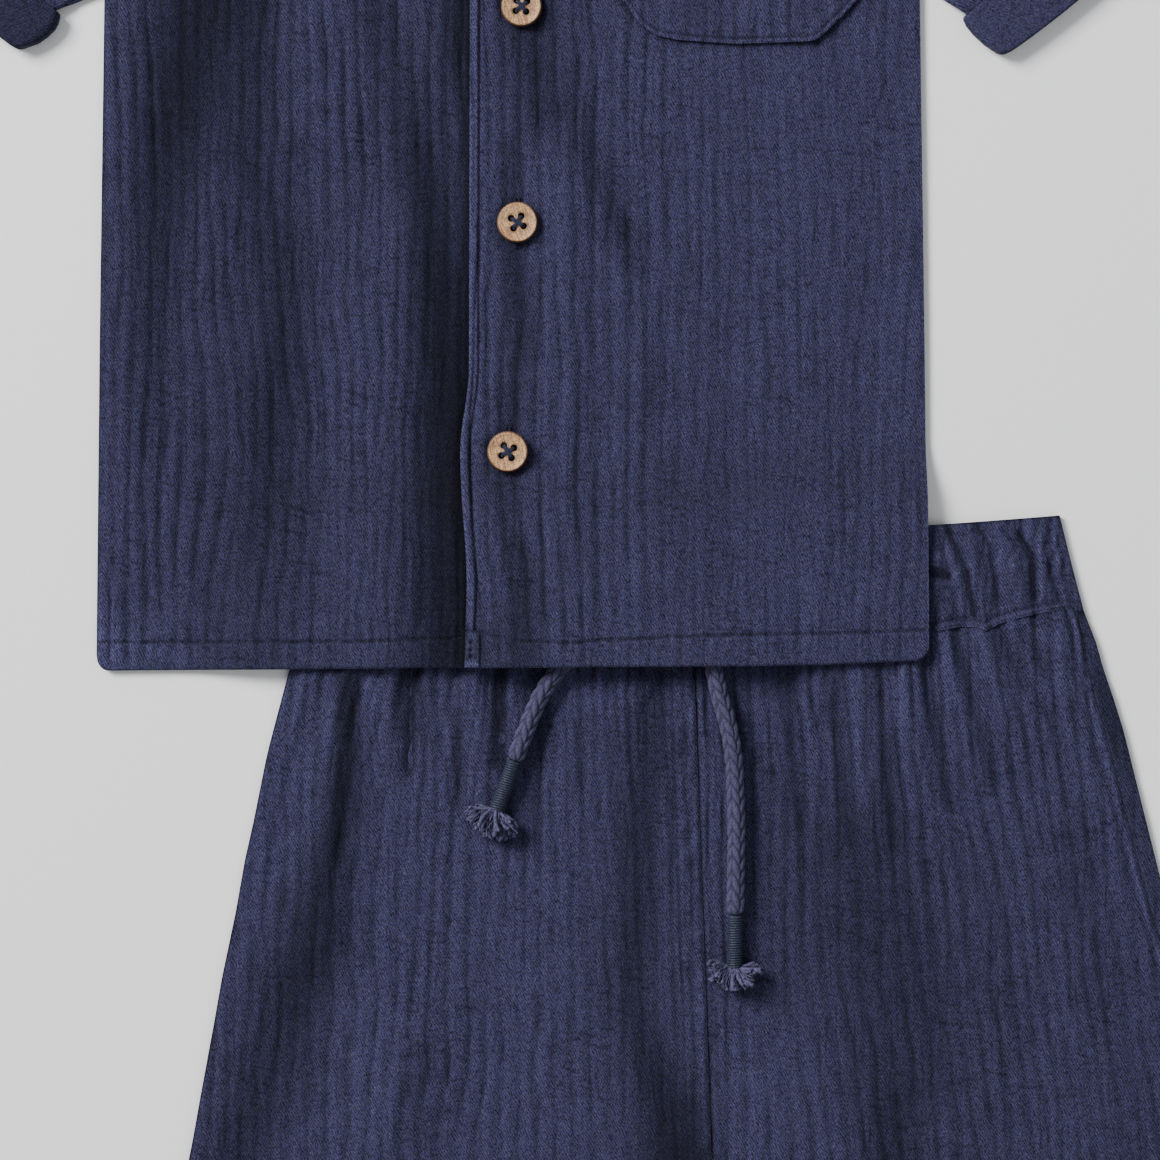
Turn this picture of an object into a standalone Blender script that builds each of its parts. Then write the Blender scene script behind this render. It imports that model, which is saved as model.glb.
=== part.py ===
"""A toddler's button shirt and drawstring shorts, laid flat with the shirt over the shorts.

Lengths are in millimetres and turned to metres as each mesh is made. Shirt sizes run across from its
centre line and up from its hem. Shorts sizes run across from their centre seam and down from the waist.
"""

import math
from collections import namedtuple

import bmesh
import bpy
from mathutils import Vector

MM = 0.001

# Cloth
WALL = 1.2
SEAM_GAP = 0.3
LAYER = WALL + SEAM_GAP
GROUND_MID = WALL / 2
FRONT_MID = GROUND_MID + LAYER
FOLD_STEPS = 2
MOST_FOLD_REACH = 2.2

# Shirt
ARMPIT_HEIGHT = 250.0
SHOULDER_HEIGHT = 371.0
HEM_HALF = 152.4
ARMPIT_HALF = 149.4
SHOULDER_HALF = 138.3
NECK_HALF = 65.0
NECK_HEIGHT = 390.0
FRONT_NECK_HEIGHT = 330.0
BACK_NECK_HEIGHT = 378.0
NECK_CURVE = 2.2
PLACKET_EDGE = -17.5
UNDER_EDGE = 18.0
OVERLAP_EASE = 12.0
EDGE_EASE = 24.0
CORNER_ROUND = 2.4

Side = namedtuple("Side", "height half_width")
SHIRT_SIDES = [
    Side(0, HEM_HALF), Side(120, 151.2), Side(ARMPIT_HEIGHT, ARMPIT_HALF), Side(300, 145.0),
    Side(SHOULDER_HEIGHT, SHOULDER_HALF), Side(400, SHOULDER_HALF),
]
Hem = namedtuple("Hem", "part_across height")
SHIRT_HEM = [Hem(-1, -1.1), Hem(-0.1, 0.2), Hem(0.74, 1.1), Hem(1, 2.9)]
Wander = namedtuple("Wander", "height shift")
PLACKET_WANDER = [Wander(0, 0.3), Wander(32, 1.0), Wander(79, -1.6), Wander(110, 1.6), Wander(400, 1.8)]
NECK_COLUMN = NECK_HALF * HEM_HALF / SHOULDER_HALF
COLUMNS_LAP = [PLACKET_EDGE, -6, 6, UNDER_EDGE]
COLUMNS_RIGHT = [30, 44, 58, NECK_COLUMN, 88, 105, 122, 139, HEM_HALF]
COLUMNS_LEFT = [-column for column in reversed(COLUMNS_RIGHT)]
ROWS_BELOW_ARMPIT = [0, 7, 15, 23, 31, 39, 47, 55, 64, 76, 95, 120, 150, 180, 215, 250]
ROWS_ABOVE_ARMPIT = [0.2, 0.45, 0.7, 0.88, 1]

# Largest folds, each a soft ridge along a line
Fold = namedtuple("Fold", "x0 y0 x1 y1 width height")
SHIRT_FOLDS = [
    Fold(-46, 6, -41, 150, 15, 3.2),
    Fold(-112, 150, -118, 320, 16, 2.6),
    Fold(-76, 205, -62, 310, 15, 2.0),
    Fold(-98, 15, -103, 110, 15, 2.0),
    Fold(60, 40, 50, 190, 17, 2.2),
    Fold(106, 60, 113, 215, 16, 2.4),
]
SHORTS_FOLDS = [
    Fold(-128, 50, -141, 150, 10, 2.4),
    Fold(-110, 190, -128, 270, 14, 2.0),
    Fold(62, 90, 76, 200, 13, 2.0),
    Fold(126, 120, 150, 250, 14, 2.2),
    Fold(38, 190, 60, 275, 12, 1.6),
]

# Sleeves and turned-up cuffs
Sleeve = namedtuple("Sleeve", "name side armpit_height tip_x tip_height slope")
SLEEVES = [
    Sleeve("left", -1, 248.0, 179.5, 225.0, 40.0),
    Sleeve("right", 1, 250.7, 178.6, 223.3, 39.0),
]
OPENING_LENGTH = 108.0
CUFF_DEPTH = 20.0
CUFF_FLARE = 1.6
SLEEVE_INSET = 2.4
SLEEVE_PUFF = 3.0
SLEEVE_STEPS = [0, 0.2, 0.45, 0.7, 0.9, 1]
CUFF_STEPS = [0, 0.35, 0.8, 1]

# Collar
COLLAR_HEIGHT = 22.0
COLLAR_LEAN = 6.0
COLLAR_COLUMNS = [30, 44, 58, NECK_COLUMN]

# Chest pocket
POCKET_LEFT = 38.4
POCKET_WIDTH = 89.7
POCKET_BOTTOM = 229.0
POCKET_HEIGHT = 84.0
POCKET_CORNER_WIDTH = 12.0
POCKET_CORNER_HEIGHT = 15.0
POCKET_COLUMNS = [0, 0.13, 0.3, 0.5, 0.7, 0.87, 1]
POCKET_ROWS = [0, 0.2, 0.45, 0.7, 0.9, 1]
POCKET_CLEARANCE = 0.5

# Buttons
Button = namedtuple("Button", "x y turn")
BUTTONS = [Button(-1.5, 79.0, 32), Button(2.0, 162.9, 58), Button(3.5, 241.8, 40), Button(4.0, 318.0, 50)]
BUTTON_RADIUS = 7.5
BUTTON_SIDES = 20
BUTTON_HOLE_RADIUS = 1.15
BUTTON_HOLE_SPREAD = 2.67
BUTTON_CLEARANCE = 0.35
Turned = namedtuple("Turned", "radius height")
BUTTON_PROFILE = [Turned(6.5, 0), Turned(7.5, 1.1), Turned(7.1, 2.2), Turned(5.7, 2.5), Turned(4.7, 1.8)]

# Shorts, placed in the shirt's frame
WAIST_X = 64.8
WAIST_Y = 55.6
SHORTS_TURN = math.radians(2.05)
WAIST_TOP = 4.6
WAIST_HALF = 135.0
WAIST_SAG = 3.2
CASING_SEAM = 40.3
CASING_HALF = 143.6
CASING_SAG = 6.0
CROTCH = 228.0
INNER_HEM = 293.0
OUTER_HEM = 283.0
CENTRE_HALF_GAP = 0.15
INNER_HEM_FROM_CENTRE = 6.0
SIDE_ROLL = 7.0
Outer = namedtuple("Outer", "below half_width")
SHORTS_SIDES = [
    Outer(WAIST_TOP, WAIST_HALF), Outer(CASING_SEAM, CASING_HALF), Outer(51, 148.3), Outer(84, 156.6),
    Outer(139, 168.3), Outer(229, 190.6), Outer(OUTER_HEM, 203.0), Outer(300, 206.5),
]
GATHERS_PER_PANEL = 10
POINTS_PER_GATHER = 4
GATHER_HEIGHT = 1.7
GATHER_FADE = 60.0
CENTRE_CALM = 26.0
SHORTS_ROWS = [0, 0.06, 0.14, 0.25, 0.42, 0.6, 0.77, 0.9, 1]
BACK_COLUMNS = 8
WAISTBAND_PUFF = 1.4
WAISTBAND_ROWS = [0, 0.5, 1]
WAISTBAND_BACK_COLUMNS = 12

# Drawstring: centre points of each free end in the shirt's frame
Point = namedtuple("Point", "x y z")
CORD_DIAMETER = 6.8
CORD_STEP = 9.0
CORD_TIP_LENGTH = 32.0
PRESSED_HALF = 6.0
PRESSED_RAMP = 9.0
CORD_ROUTES = {
    "left": [
        Point(60.4, 33.3, 7.5), Point(54.2, 28.0, 7.5), Point(41.4, 19.5, 7.4), Point(26.7, 9.6, 7.1),
        Point(17.2, -0.4, 6.9), Point(11.2, -9.0, 6.8), Point(7.2, -17.5, 6.7), Point(4.0, -25.6, 6.7),
        Point(1.1, -33.7, 6.7),
    ],
    "right": [
        Point(74.3, 34.0, 7.5), Point(73.2, 24.9, 7.5), Point(72.4, 13.9, 7.3), Point(73.2, 2.9, 6.9),
        Point(75.4, -8.1, 6.7), Point(78.7, -19.8, 6.7), Point(80.9, -31.8, 6.7), Point(81.6, -44.3, 6.7),
        Point(82.0, -59.3, 6.7), Point(81.8, -75.8, 6.7), Point(81.6, -90.0, 6.7),
    ],
}
WHIPPING_DIAMETER = 5.7
WHIPPING_LENGTH = 19.0
WHIPPING_SIDES = 10
TUFT_HEAD_LENGTH = 1.6
TUFT_LENGTHS = {"left": 12.0, "right": 9.0}
TUFT_SPREAD = {"left": 36.0, "right": 62.0}
TUFT_SIDES = 12
EYELETS = {"left": Point(60.4, 36.6, 0), "right": Point(74.3, 37.3, 0)}
EYELET_OUTER = 5.4
EYELET_INNER = 3.9
EYELET_THICKNESS = 0.6
EYELET_SIDES = 14

# How far the shirt rises over what lies under it
BAND_LIFT = 6.3
PANEL_LIFT = 5.2
CORD_LIFT = 11.2
LIFT_RAMP = 22.0
LIFT_MARGIN = 5.0
CORD_RIDGE_HALF = 15.0
CORD_RIDGE_RAMP = 24.0

Finish = namedtuple("Finish", "colour roughness")
FINISHES = {
    "gauze": Finish((0.036, 0.041, 0.085, 1), 0.95),
    "cuff_gauze": Finish((0.045, 0.049, 0.098, 1), 0.95),
    "cord": Finish((0.050, 0.053, 0.112, 1), 0.9),
    "whipping": Finish((0.021, 0.032, 0.063, 1), 0.8),
    "coconut_wood": Finish((0.56, 0.38, 0.25, 1), 0.5),
}


def clear_scene():
    for old in list(bpy.data.objects):
        bpy.data.objects.remove(old, do_unlink=True)


def material(name):
    found = bpy.data.materials.get(name)
    if found:
        return found
    made = bpy.data.materials.new(name)
    made.use_nodes = True
    shader = made.node_tree.nodes["Principled BSDF"]
    shader.inputs["Base Color"].default_value = FINISHES[name].colour
    shader.inputs["Roughness"].default_value = FINISHES[name].roughness
    return made


def add_object(name, bm, finish):
    bmesh.ops.recalc_face_normals(bm, faces=bm.faces)
    bmesh.ops.scale(bm, vec=(MM, MM, MM), verts=bm.verts)
    mesh = bpy.data.meshes.new(name)
    bm.to_mesh(mesh)
    bm.free()
    mesh.shade_smooth()
    mesh.set_sharp_from_angle(angle=math.radians(50))
    mesh.materials.append(material(finish))
    made = bpy.data.objects.new(name, mesh)
    bpy.context.scene.collection.objects.link(made)
    return made


def smooth_step(value):
    kept = min(max(value, 0.0), 1.0)
    return kept * kept * (3 - 2 * kept)


def read_table(table, where):
    """The second column of a table at a value of its first, straight between rows."""
    for low, high in zip(table, table[1:]):
        if where <= high[0]:
            part = (where - low[0]) / (high[0] - low[0])
            return low[1] + (high[1] - low[1]) * min(max(part, 0.0), 1.0)
    return table[-1][1]


def segment_distance(x, y, x0, y0, x1, y1):
    along_x, along_y = x1 - x0, y1 - y0
    part = ((x - x0) * along_x + (y - y0) * along_y) / (along_x**2 + along_y**2)
    kept = min(max(part, 0.0), 1.0)
    return math.hypot(x - x0 - along_x * kept, y - y0 - along_y * kept)


def folds_height(folds, x, y):
    total = 0.0
    for fold in folds:
        away = segment_distance(x, y, fold.x0, fold.y0, fold.x1, fold.y1)
        total += fold.height * math.exp(-((away / fold.width) ** 2))
    return total


def wall_from_rows(name, rows, finish, closed=False, thickness=WALL):
    """A cloth wall from rows of (middle point, outward normal). A closed wall joins each row's ends."""
    bm = bmesh.new()
    half = thickness / 2
    outer = [[bm.verts.new(point + normal * half) for point, normal in row] for row in rows]
    inner = [[bm.verts.new(point - normal * half) for point, normal in row] for row in rows]
    count = len(rows[0])
    steps = count if closed else count - 1

    def quad(a, b, c, d):
        bm.faces.new((a, b, c))
        bm.faces.new((a, c, d))

    for i in range(len(rows) - 1):
        for j in range(steps):
            k = (j + 1) % count
            quad(outer[i][j], outer[i][k], outer[i + 1][k], outer[i + 1][j])
            quad(inner[i][j], inner[i + 1][j], inner[i + 1][k], inner[i][k])
        if not closed:
            quad(outer[i][0], outer[i + 1][0], inner[i + 1][0], inner[i][0])
            quad(outer[i + 1][-1], outer[i][-1], inner[i][-1], inner[i + 1][-1])
    for j in range(steps):
        k = (j + 1) % count
        quad(outer[0][k], outer[0][j], inner[0][j], inner[0][k])
        quad(outer[-1][j], outer[-1][k], inner[-1][k], inner[-1][j])
    return add_object(name, bm, finish)


# Shorts frame

def to_shorts(x, y):
    """(across, below) of a point of the shirt's frame."""
    dx, dy = x - WAIST_X, y - WAIST_Y
    turn_cos, turn_sin = math.cos(SHORTS_TURN), math.sin(SHORTS_TURN)
    return dx * turn_cos + dy * turn_sin, dx * turn_sin - dy * turn_cos


def from_shorts(across, below):
    turn_cos, turn_sin = math.cos(SHORTS_TURN), math.sin(SHORTS_TURN)
    x = WAIST_X + across * turn_cos + below * turn_sin
    y = WAIST_Y + across * turn_sin - below * turn_cos
    return x, y


def casing_seam(across):
    return CASING_SEAM + CASING_SAG * (1 - min(abs(across) / CASING_HALF, 1) ** 2)


def waist_edge(across):
    return WAIST_TOP + WAIST_SAG * (1 - min(abs(across) / WAIST_HALF, 1) ** 2)


def calm_centre(across):
    """0 at the centre seam, where the casing lies flat for the eyelets and cords, and 1 away from it."""
    return smooth_step((abs(across) - CENTRE_CALM) / 16)


# What lies under the shirt

def route_distance(x, y, route):
    return min(segment_distance(x, y, a.x, a.y, b.x, b.y) for a, b in zip(route, route[1:]))


def route_to_tip(route):
    """A cord's route with its whipping and tuft added in a straight line."""
    end, before = Vector(route[-1]), Vector(route[-2])
    return [*route, Point(*(end + (end - before).normalized() * CORD_TIP_LENGTH))]


def unpressed(x, y):
    """0 where a cord's weight presses the shorts flat, and 1 away from it."""
    near = min(route_distance(x, y, route_to_tip(route)) for route in CORD_ROUTES.values())
    return smooth_step((near - PRESSED_HALF) / PRESSED_RAMP)


def shirt_lift(x, y):
    """Height of the shirt's underside, which rises off the surface over the shorts and the cords."""
    across, below = to_shorts(x, y)
    half = read_table(SHORTS_SIDES, below)
    over_side = smooth_step((half + LIFT_MARGIN + LIFT_RAMP - abs(across)) / LIFT_RAMP)
    over_top = smooth_step((below - WAIST_TOP + LIFT_MARGIN + LIFT_RAMP) / LIFT_RAMP)
    off_band = smooth_step((below - CASING_SEAM - 8) / 20)
    lift = BAND_LIFT + (PANEL_LIFT - BAND_LIFT) * off_band
    near = min(route_distance(x, y, route) for route in CORD_ROUTES.values())
    ridge = smooth_step((CORD_RIDGE_HALF + CORD_RIDGE_RAMP - near) / CORD_RIDGE_RAMP)
    return over_side * over_top * (lift + (CORD_LIFT - lift) * ridge)


# Shirt

def shirt_half_width(height):
    return read_table(SHIRT_SIDES, height)


def neckline(x, centre_height):
    part = min(abs(x) / NECK_HALF, 1)
    return centre_height + (NECK_HEIGHT - centre_height) * part**NECK_CURVE


def shirt_top(x, centre_height):
    if abs(x) <= NECK_HALF:
        return neckline(x, centre_height)
    part = (abs(x) - NECK_HALF) / (SHOULDER_HALF - NECK_HALF)
    return NECK_HEIGHT + (SHOULDER_HEIGHT - NECK_HEIGHT) * min(part, 1)


def shirt_point(column, row, centre_height):
    """(x, y) of a lattice point. All layers share the lattice below the armpit, so they lie parallel."""
    part = column / HEM_HALF
    hem = read_table(SHIRT_HEM, part) * smooth_step((60 - row) / 60) if row < 60 else 0
    if row <= ARMPIT_HEIGHT:
        y = row + hem
    else:
        over = row - ARMPIT_HEIGHT
        top = shirt_top(SHOULDER_HALF * part, centre_height)
        y = ARMPIT_HEIGHT + (top - ARMPIT_HEIGHT) * over
    near_placket = max(0, 1 - abs(column - PLACKET_EDGE) / 24)
    x = shirt_half_width(y) * part + read_table(PLACKET_WANDER, y) * near_placket
    if row == 0 and abs(part) == 1:
        x -= math.copysign(CORNER_ROUND / 2, part)
        y += CORNER_ROUND / 2
    return x, y


def shirt_rows():
    return ROWS_BELOW_ARMPIT + [ARMPIT_HEIGHT + part for part in ROWS_ABOVE_ARMPIT]


def front_puff(x, y):
    inside = smooth_step((shirt_half_width(y) - abs(x)) / EDGE_EASE)
    return folds_height(SHIRT_FOLDS, x, y) * inside


def lap_rise(x):
    """The over front rises by a layer where it covers the under front."""
    return LAYER * smooth_step((UNDER_EDGE + 4 + OVERLAP_EASE - x) / OVERLAP_EASE)


def front_mid(x, y, over):
    rise = lap_rise(x) if over else 0
    return shirt_lift(x, y) + FRONT_MID + front_puff(x, y) + rise


def shirt_panel(name, columns, centre_height, height_at):
    up = Vector((0, 0, 1))
    rows = []
    for row in shirt_rows():
        points = [shirt_point(column, row, centre_height) for column in columns]
        rows.append([(Vector((x, y, height_at(x, y))), up) for x, y in points])
    return wall_from_rows(name, rows, "gauze")


def make_shirt_body():
    every_column = COLUMNS_LEFT + COLUMNS_LAP + COLUMNS_RIGHT
    shirt_panel("shirt_back", every_column, BACK_NECK_HEIGHT, lambda x, y: shirt_lift(x, y) + GROUND_MID)
    under_columns = COLUMNS_LEFT + COLUMNS_LAP
    shirt_panel("shirt_front_under", under_columns, FRONT_NECK_HEIGHT, lambda x, y: front_mid(x, y, False))
    over_columns = COLUMNS_LAP + COLUMNS_RIGHT
    shirt_panel("shirt_front_over", over_columns, FRONT_NECK_HEIGHT, lambda x, y: front_mid(x, y, True))


def fold_points(centre, along, reach, rise, first_angle, fold_steps):
    """The turn at one end of a flattened ring, between its lower and upper walls."""
    up = Vector((0, 0, 1))
    points = []
    for i in range(1, fold_steps):
        angle = first_angle + math.pi * i / fold_steps
        normal = along * math.cos(angle) + up * math.sin(angle)
        out = along * math.cos(angle) * (reach - WALL / 2) + up * math.sin(angle) * rise
        points.append((centre + out, normal))
    return points


def flat_ring(start, end, low_mid, top_mid, low_count, top_parts, fold_steps=FOLD_STEPS):
    """A flattened ring of cloth between two points of the plan, as (middle point, outward normal)."""
    span = (end - start).length
    along = (end - start).normalized()
    up = Vector((0, 0, 1))
    rise = (top_mid(0) - low_mid) / 2
    reach = WALL / 2 + min(rise, MOST_FOLD_REACH)
    ring = []
    for part in even_parts(low_count):
        place = reach + (span - 2 * reach) * part
        ring.append((start + along * place + up * low_mid, -up))
    middle = up * (low_mid + rise)
    ring += fold_points(start + along * (span - reach) + middle, along, reach, rise, -math.pi / 2, fold_steps)
    for part in reversed(top_parts):
        place = reach + (span - 2 * reach) * part
        ring.append((start + along * place + up * top_mid(part), up))
    ring += fold_points(start + along * reach + middle, along, reach, rise, math.pi / 2, fold_steps)
    return ring


def even_parts(count):
    return [i / count for i in range(count + 1)]


def mix(a, b, part):
    return a + (b - a) * part


def sleeve_corners(sleeve):
    slope = math.radians(sleeve.slope)
    opening = Vector((math.cos(slope) * sleeve.side, math.sin(slope), 0))
    inward = Vector((-math.sin(slope) * sleeve.side, math.cos(slope), 0))
    tip = Vector((sleeve.tip_x * sleeve.side, sleeve.tip_height, 0))
    return tip, opening, inward


def make_sleeve(sleeve):
    """A flattened tube from the armhole to just inside the fold of the turned-up cuff."""
    tip, opening, inward = sleeve_corners(sleeve)
    armpit = Vector(((ARMPIT_HALF + SEAM_GAP) * sleeve.side, sleeve.armpit_height, 0))
    shoulder = Vector(((SHOULDER_HALF + SEAM_GAP) * sleeve.side, SHOULDER_HEIGHT, 0))
    inset = opening * SLEEVE_INSET
    cuff_start = tip + inward * CUFF_DEPTH + inset
    cuff_end = tip + inward * CUFF_DEPTH + opening * OPENING_LENGTH - inset
    rows = []
    for step in SLEEVE_STEPS:
        start = mix(armpit, cuff_start, step)
        end = mix(shoulder, cuff_end, step)
        low = GROUND_MID + LAYER * smooth_step((step - 0.55) / 0.35)
        puff = SLEEVE_PUFF * math.sin(math.pi * min(step * 1.1, 1) * 0.85)
        rows.append(flat_ring(start, end, low, sleeve_top(low, puff), 5, even_parts(7)))
    reach = inward * (CUFF_DEPTH - 4)
    flat_top = sleeve_top(FRONT_MID, 0)
    rows.append(flat_ring(cuff_start - reach, cuff_end - reach, FRONT_MID, flat_top, 5, even_parts(7)))
    return wall_from_rows("sleeve_" + sleeve.name, rows, "gauze", closed=True)


def sleeve_top(low, puff):
    return lambda part: low + LAYER + puff * math.sin(math.pi * part) ** 1.5


def make_cuff(sleeve):
    """A wider flattened tube round the sleeve's end, drawn in at the opening where it folds up."""
    tip, opening, inward = sleeve_corners(sleeve)
    rows = []
    for step in CUFF_STEPS:
        flare = opening * CUFF_FLARE * step
        start = tip + inward * CUFF_DEPTH * step - flare
        end = tip + opening * OPENING_LENGTH + inward * CUFF_DEPTH * step + flare
        drawn_in = 1 - smooth_step(step / 0.3)
        low = GROUND_MID + drawn_in * 0.4
        top = FRONT_MID + 2 * LAYER + 0.6 - drawn_in
        bulge = 0.9 * smooth_step(step)
        rows.append(flat_ring(start, end, low, cuff_top(top, bulge), 5, even_parts(7), fold_steps=3))
    return wall_from_rows("cuff_" + sleeve.name, rows, "cuff_gauze", closed=True)


def cuff_top(top, bulge):
    return lambda part: top + bulge * math.sin(math.pi * part)


def collar_section(column, centre_height, mid, normal):
    """One section of the band, from its seam on the neckline's own lattice point to its free edge."""
    x, y = shirt_point(column, ARMPIT_HEIGHT + 1, centre_height)
    seam = Vector((x, y + SEAM_GAP, mid))
    edge = seam + Vector((-COLLAR_LEAN * x / NECK_HALF, COLLAR_HEIGHT, 0))
    return [(seam, normal), (mix(seam, edge, 0.5), normal), (edge, normal)]


def collar_fold(side):
    across = Vector((side, 0, 0))
    seam = Vector(((NECK_HALF + LAYER / 2) * side, NECK_HEIGHT + SEAM_GAP, GROUND_MID + LAYER / 2))
    edge = seam + Vector((-COLLAR_LEAN * side, COLLAR_HEIGHT, 0))
    return [(seam, across), (mix(seam, edge, 0.5), across), (edge, across)]


def make_collar():
    """A stand band laid flat: its back half on the surface and its front halves lapped over it."""
    up = Vector((0, 0, 1))
    left_columns = [-column for column in reversed(COLLAR_COLUMNS)]
    sections = []
    for column in COLUMNS_LAP + COLLAR_COLUMNS:
        sections.append(collar_section(column, FRONT_NECK_HEIGHT, FRONT_MID + lap_rise(column), up))
    sections.append(collar_fold(1))
    for column in reversed(left_columns + COLUMNS_LAP + COLLAR_COLUMNS):
        sections.append(collar_section(column, BACK_NECK_HEIGHT, GROUND_MID, -up))
    sections.append(collar_fold(-1))
    for column in left_columns + COLUMNS_LAP:
        sections.append(collar_section(column, FRONT_NECK_HEIGHT, FRONT_MID, up))
    return wall_from_rows("collar", sections, "gauze")


def highest_front(x, y, reach=6.0):
    around = [(0, 0), (reach, 0), (-reach, 0), (0, reach), (0, -reach)]
    return max(front_mid(x + dx, y + dy, True) for dx, dy in around)


def make_pocket():
    up = Vector((0, 0, 1))
    corner_part = POCKET_CORNER_WIDTH / POCKET_WIDTH
    rows = []
    for up_part in POCKET_ROWS:
        row = []
        for across_part in POCKET_COLUMNS:
            from_edge = min(across_part, 1 - across_part)
            corner = POCKET_CORNER_HEIGHT * max(0, 1 - from_edge / corner_part)
            x = POCKET_LEFT + POCKET_WIDTH * across_part
            y = POCKET_BOTTOM + corner + (POCKET_HEIGHT - corner) * up_part
            mid = highest_front(x, y) + LAYER + POCKET_CLEARANCE
            row.append((Vector((x, y, mid)), up))
        rows.append(row)
    return wall_from_rows("chest_pocket", rows, "gauze")


def turned_shape(profile, sides):
    """A closed turned solid from its profile, with flat ends."""
    bm = bmesh.new()
    rings = []
    for radius, height in profile:
        angles = [2 * math.pi * i / sides for i in range(sides)]
        rings.append([bm.verts.new((radius * math.cos(a), radius * math.sin(a), height)) for a in angles])
    for low, high in zip(rings, rings[1:]):
        for i in range(sides):
            k = (i + 1) % sides
            bm.faces.new((low[i], low[k], high[k], high[i]))
    bm.faces.new(list(reversed(rings[0])))
    bm.faces.new(rings[-1])
    return bm


def make_hole_cutter(name):
    bm = bmesh.new()
    for i in range(4):
        angle = math.pi / 2 * i
        drill = turned_shape([Turned(BUTTON_HOLE_RADIUS, -2), Turned(BUTTON_HOLE_RADIUS, 5)], 6)
        offset = (BUTTON_HOLE_SPREAD * math.cos(angle), BUTTON_HOLE_SPREAD * math.sin(angle), 0)
        bmesh.ops.translate(drill, vec=offset, verts=drill.verts)
        piece = bpy.data.meshes.new("drill")
        drill.to_mesh(piece)
        drill.free()
        bm.from_mesh(piece)
    cutter = add_object(name, bm, "coconut_wood")
    cutter.hide_render = True
    cutter.display_type = "WIRE"
    return cutter


def make_buttons():
    for number, place in enumerate(BUTTONS, 1):
        button = add_object(f"button_{number}", turned_shape(BUTTON_PROFILE, BUTTON_SIDES), "coconut_wood")
        cutter = make_hole_cutter(f"button_holes_{number}")
        floor = highest_front(place.x, place.y, BUTTON_RADIUS + 3) + WALL / 2 + BUTTON_CLEARANCE
        for piece in (button, cutter):
            piece.location = Vector((place.x, place.y, floor)) * MM
            piece.rotation_euler = (0, 0, math.radians(place.turn))
        holes = button.modifiers.new("holes", "BOOLEAN")
        holes.operation = "DIFFERENCE"
        holes.object = cutter


# Shorts

def shorts_half_width(below):
    return read_table(SHORTS_SIDES, below)


def inner_edge(below):
    return CENTRE_HALF_GAP + INNER_HEM_FROM_CENTRE * max(0, (below - CROTCH) / (INNER_HEM - CROTCH))


def shorts_lattice_point(side, part, row):
    """(across, below) at a part of the way out from the centre seam and of the way down to the hem."""
    top = casing_seam(CASING_HALF * part) + SEAM_GAP
    hem = mix(INNER_HEM, OUTER_HEM, part)
    below = mix(top, hem, row)
    across = mix(inner_edge(below), shorts_half_width(below), part)
    return across * side, below


def inset_part(side, part, row, inset):
    """The lattice part that stops an inset short of the side seam when part is 1."""
    width = abs(shorts_lattice_point(side, 1, row)[0])
    return part * (1 - inset / width)


def gather_wave(part):
    return (1 - math.cos(2 * math.pi * GATHERS_PER_PANEL * part)) / 2


def shorts_front_mid(side, part, across, below):
    depth = below - casing_seam(across)
    gathered = GATHER_HEIGHT * gather_wave(part) * (1 - smooth_step(depth / GATHER_FADE))
    edges = smooth_step((1 - part) * 8) * smooth_step(part * 8)
    waves = gathered * calm_centre(across) + folds_height(SHORTS_FOLDS, across, below) * edges
    return FRONT_MID + waves * unpressed(*from_shorts(across, below))


def make_shorts_front(name, side, rolled):
    up = Vector((0, 0, 1))
    count = GATHERS_PER_PANEL * POINTS_PER_GATHER
    rows = []
    for row_part in SHORTS_ROWS:
        row = []
        for part in even_parts(count):
            kept = inset_part(side, part, row_part, (SIDE_ROLL + SEAM_GAP) * rolled)
            across, below = shorts_lattice_point(side, kept, row_part)
            mid = shorts_front_mid(side, part, across, below)
            x, y = from_shorts(across, below)
            row.append((Vector((x, y, mid)), up))
        rows.append(row)
    return wall_from_rows(name, rows, "gauze")


def make_shorts_back(name, side, rolled):
    """Lies on the surface. A rolled back turns over its side and ends on the front in a narrow strip."""
    up = Vector((0, 0, 1))
    rows = []
    for row_part in SHORTS_ROWS:
        row = []
        for part in even_parts(BACK_COLUMNS):
            kept = inset_part(side, part, row_part, (WALL + LAYER) / 2 * rolled)
            x, y = from_shorts(*shorts_lattice_point(side, kept, row_part))
            row.append((Vector((x, y, GROUND_MID)), -up))
        if rolled:
            row += rolled_edge(side, row_part)
        rows.append(row)
    return wall_from_rows(name, rows, "gauze")


def rolled_edge(side, row_part):
    """The turn over the side seam and the narrow strip that it ends in, on the front."""
    turn_out = Vector(from_shorts_direction(Vector((side, 0, 0))))
    up = Vector((0, 0, 1))
    edge = []
    for inset, mid, normal in (
        (WALL / 2, GROUND_MID + LAYER / 2, turn_out),
        ((WALL + LAYER) / 2, FRONT_MID, up),
        (SIDE_ROLL, FRONT_MID, up),
    ):
        kept = inset_part(side, 1, row_part, inset)
        x, y = from_shorts(*shorts_lattice_point(side, kept, row_part))
        edge.append((Vector((x, y, mid)), normal))
    return edge


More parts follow.
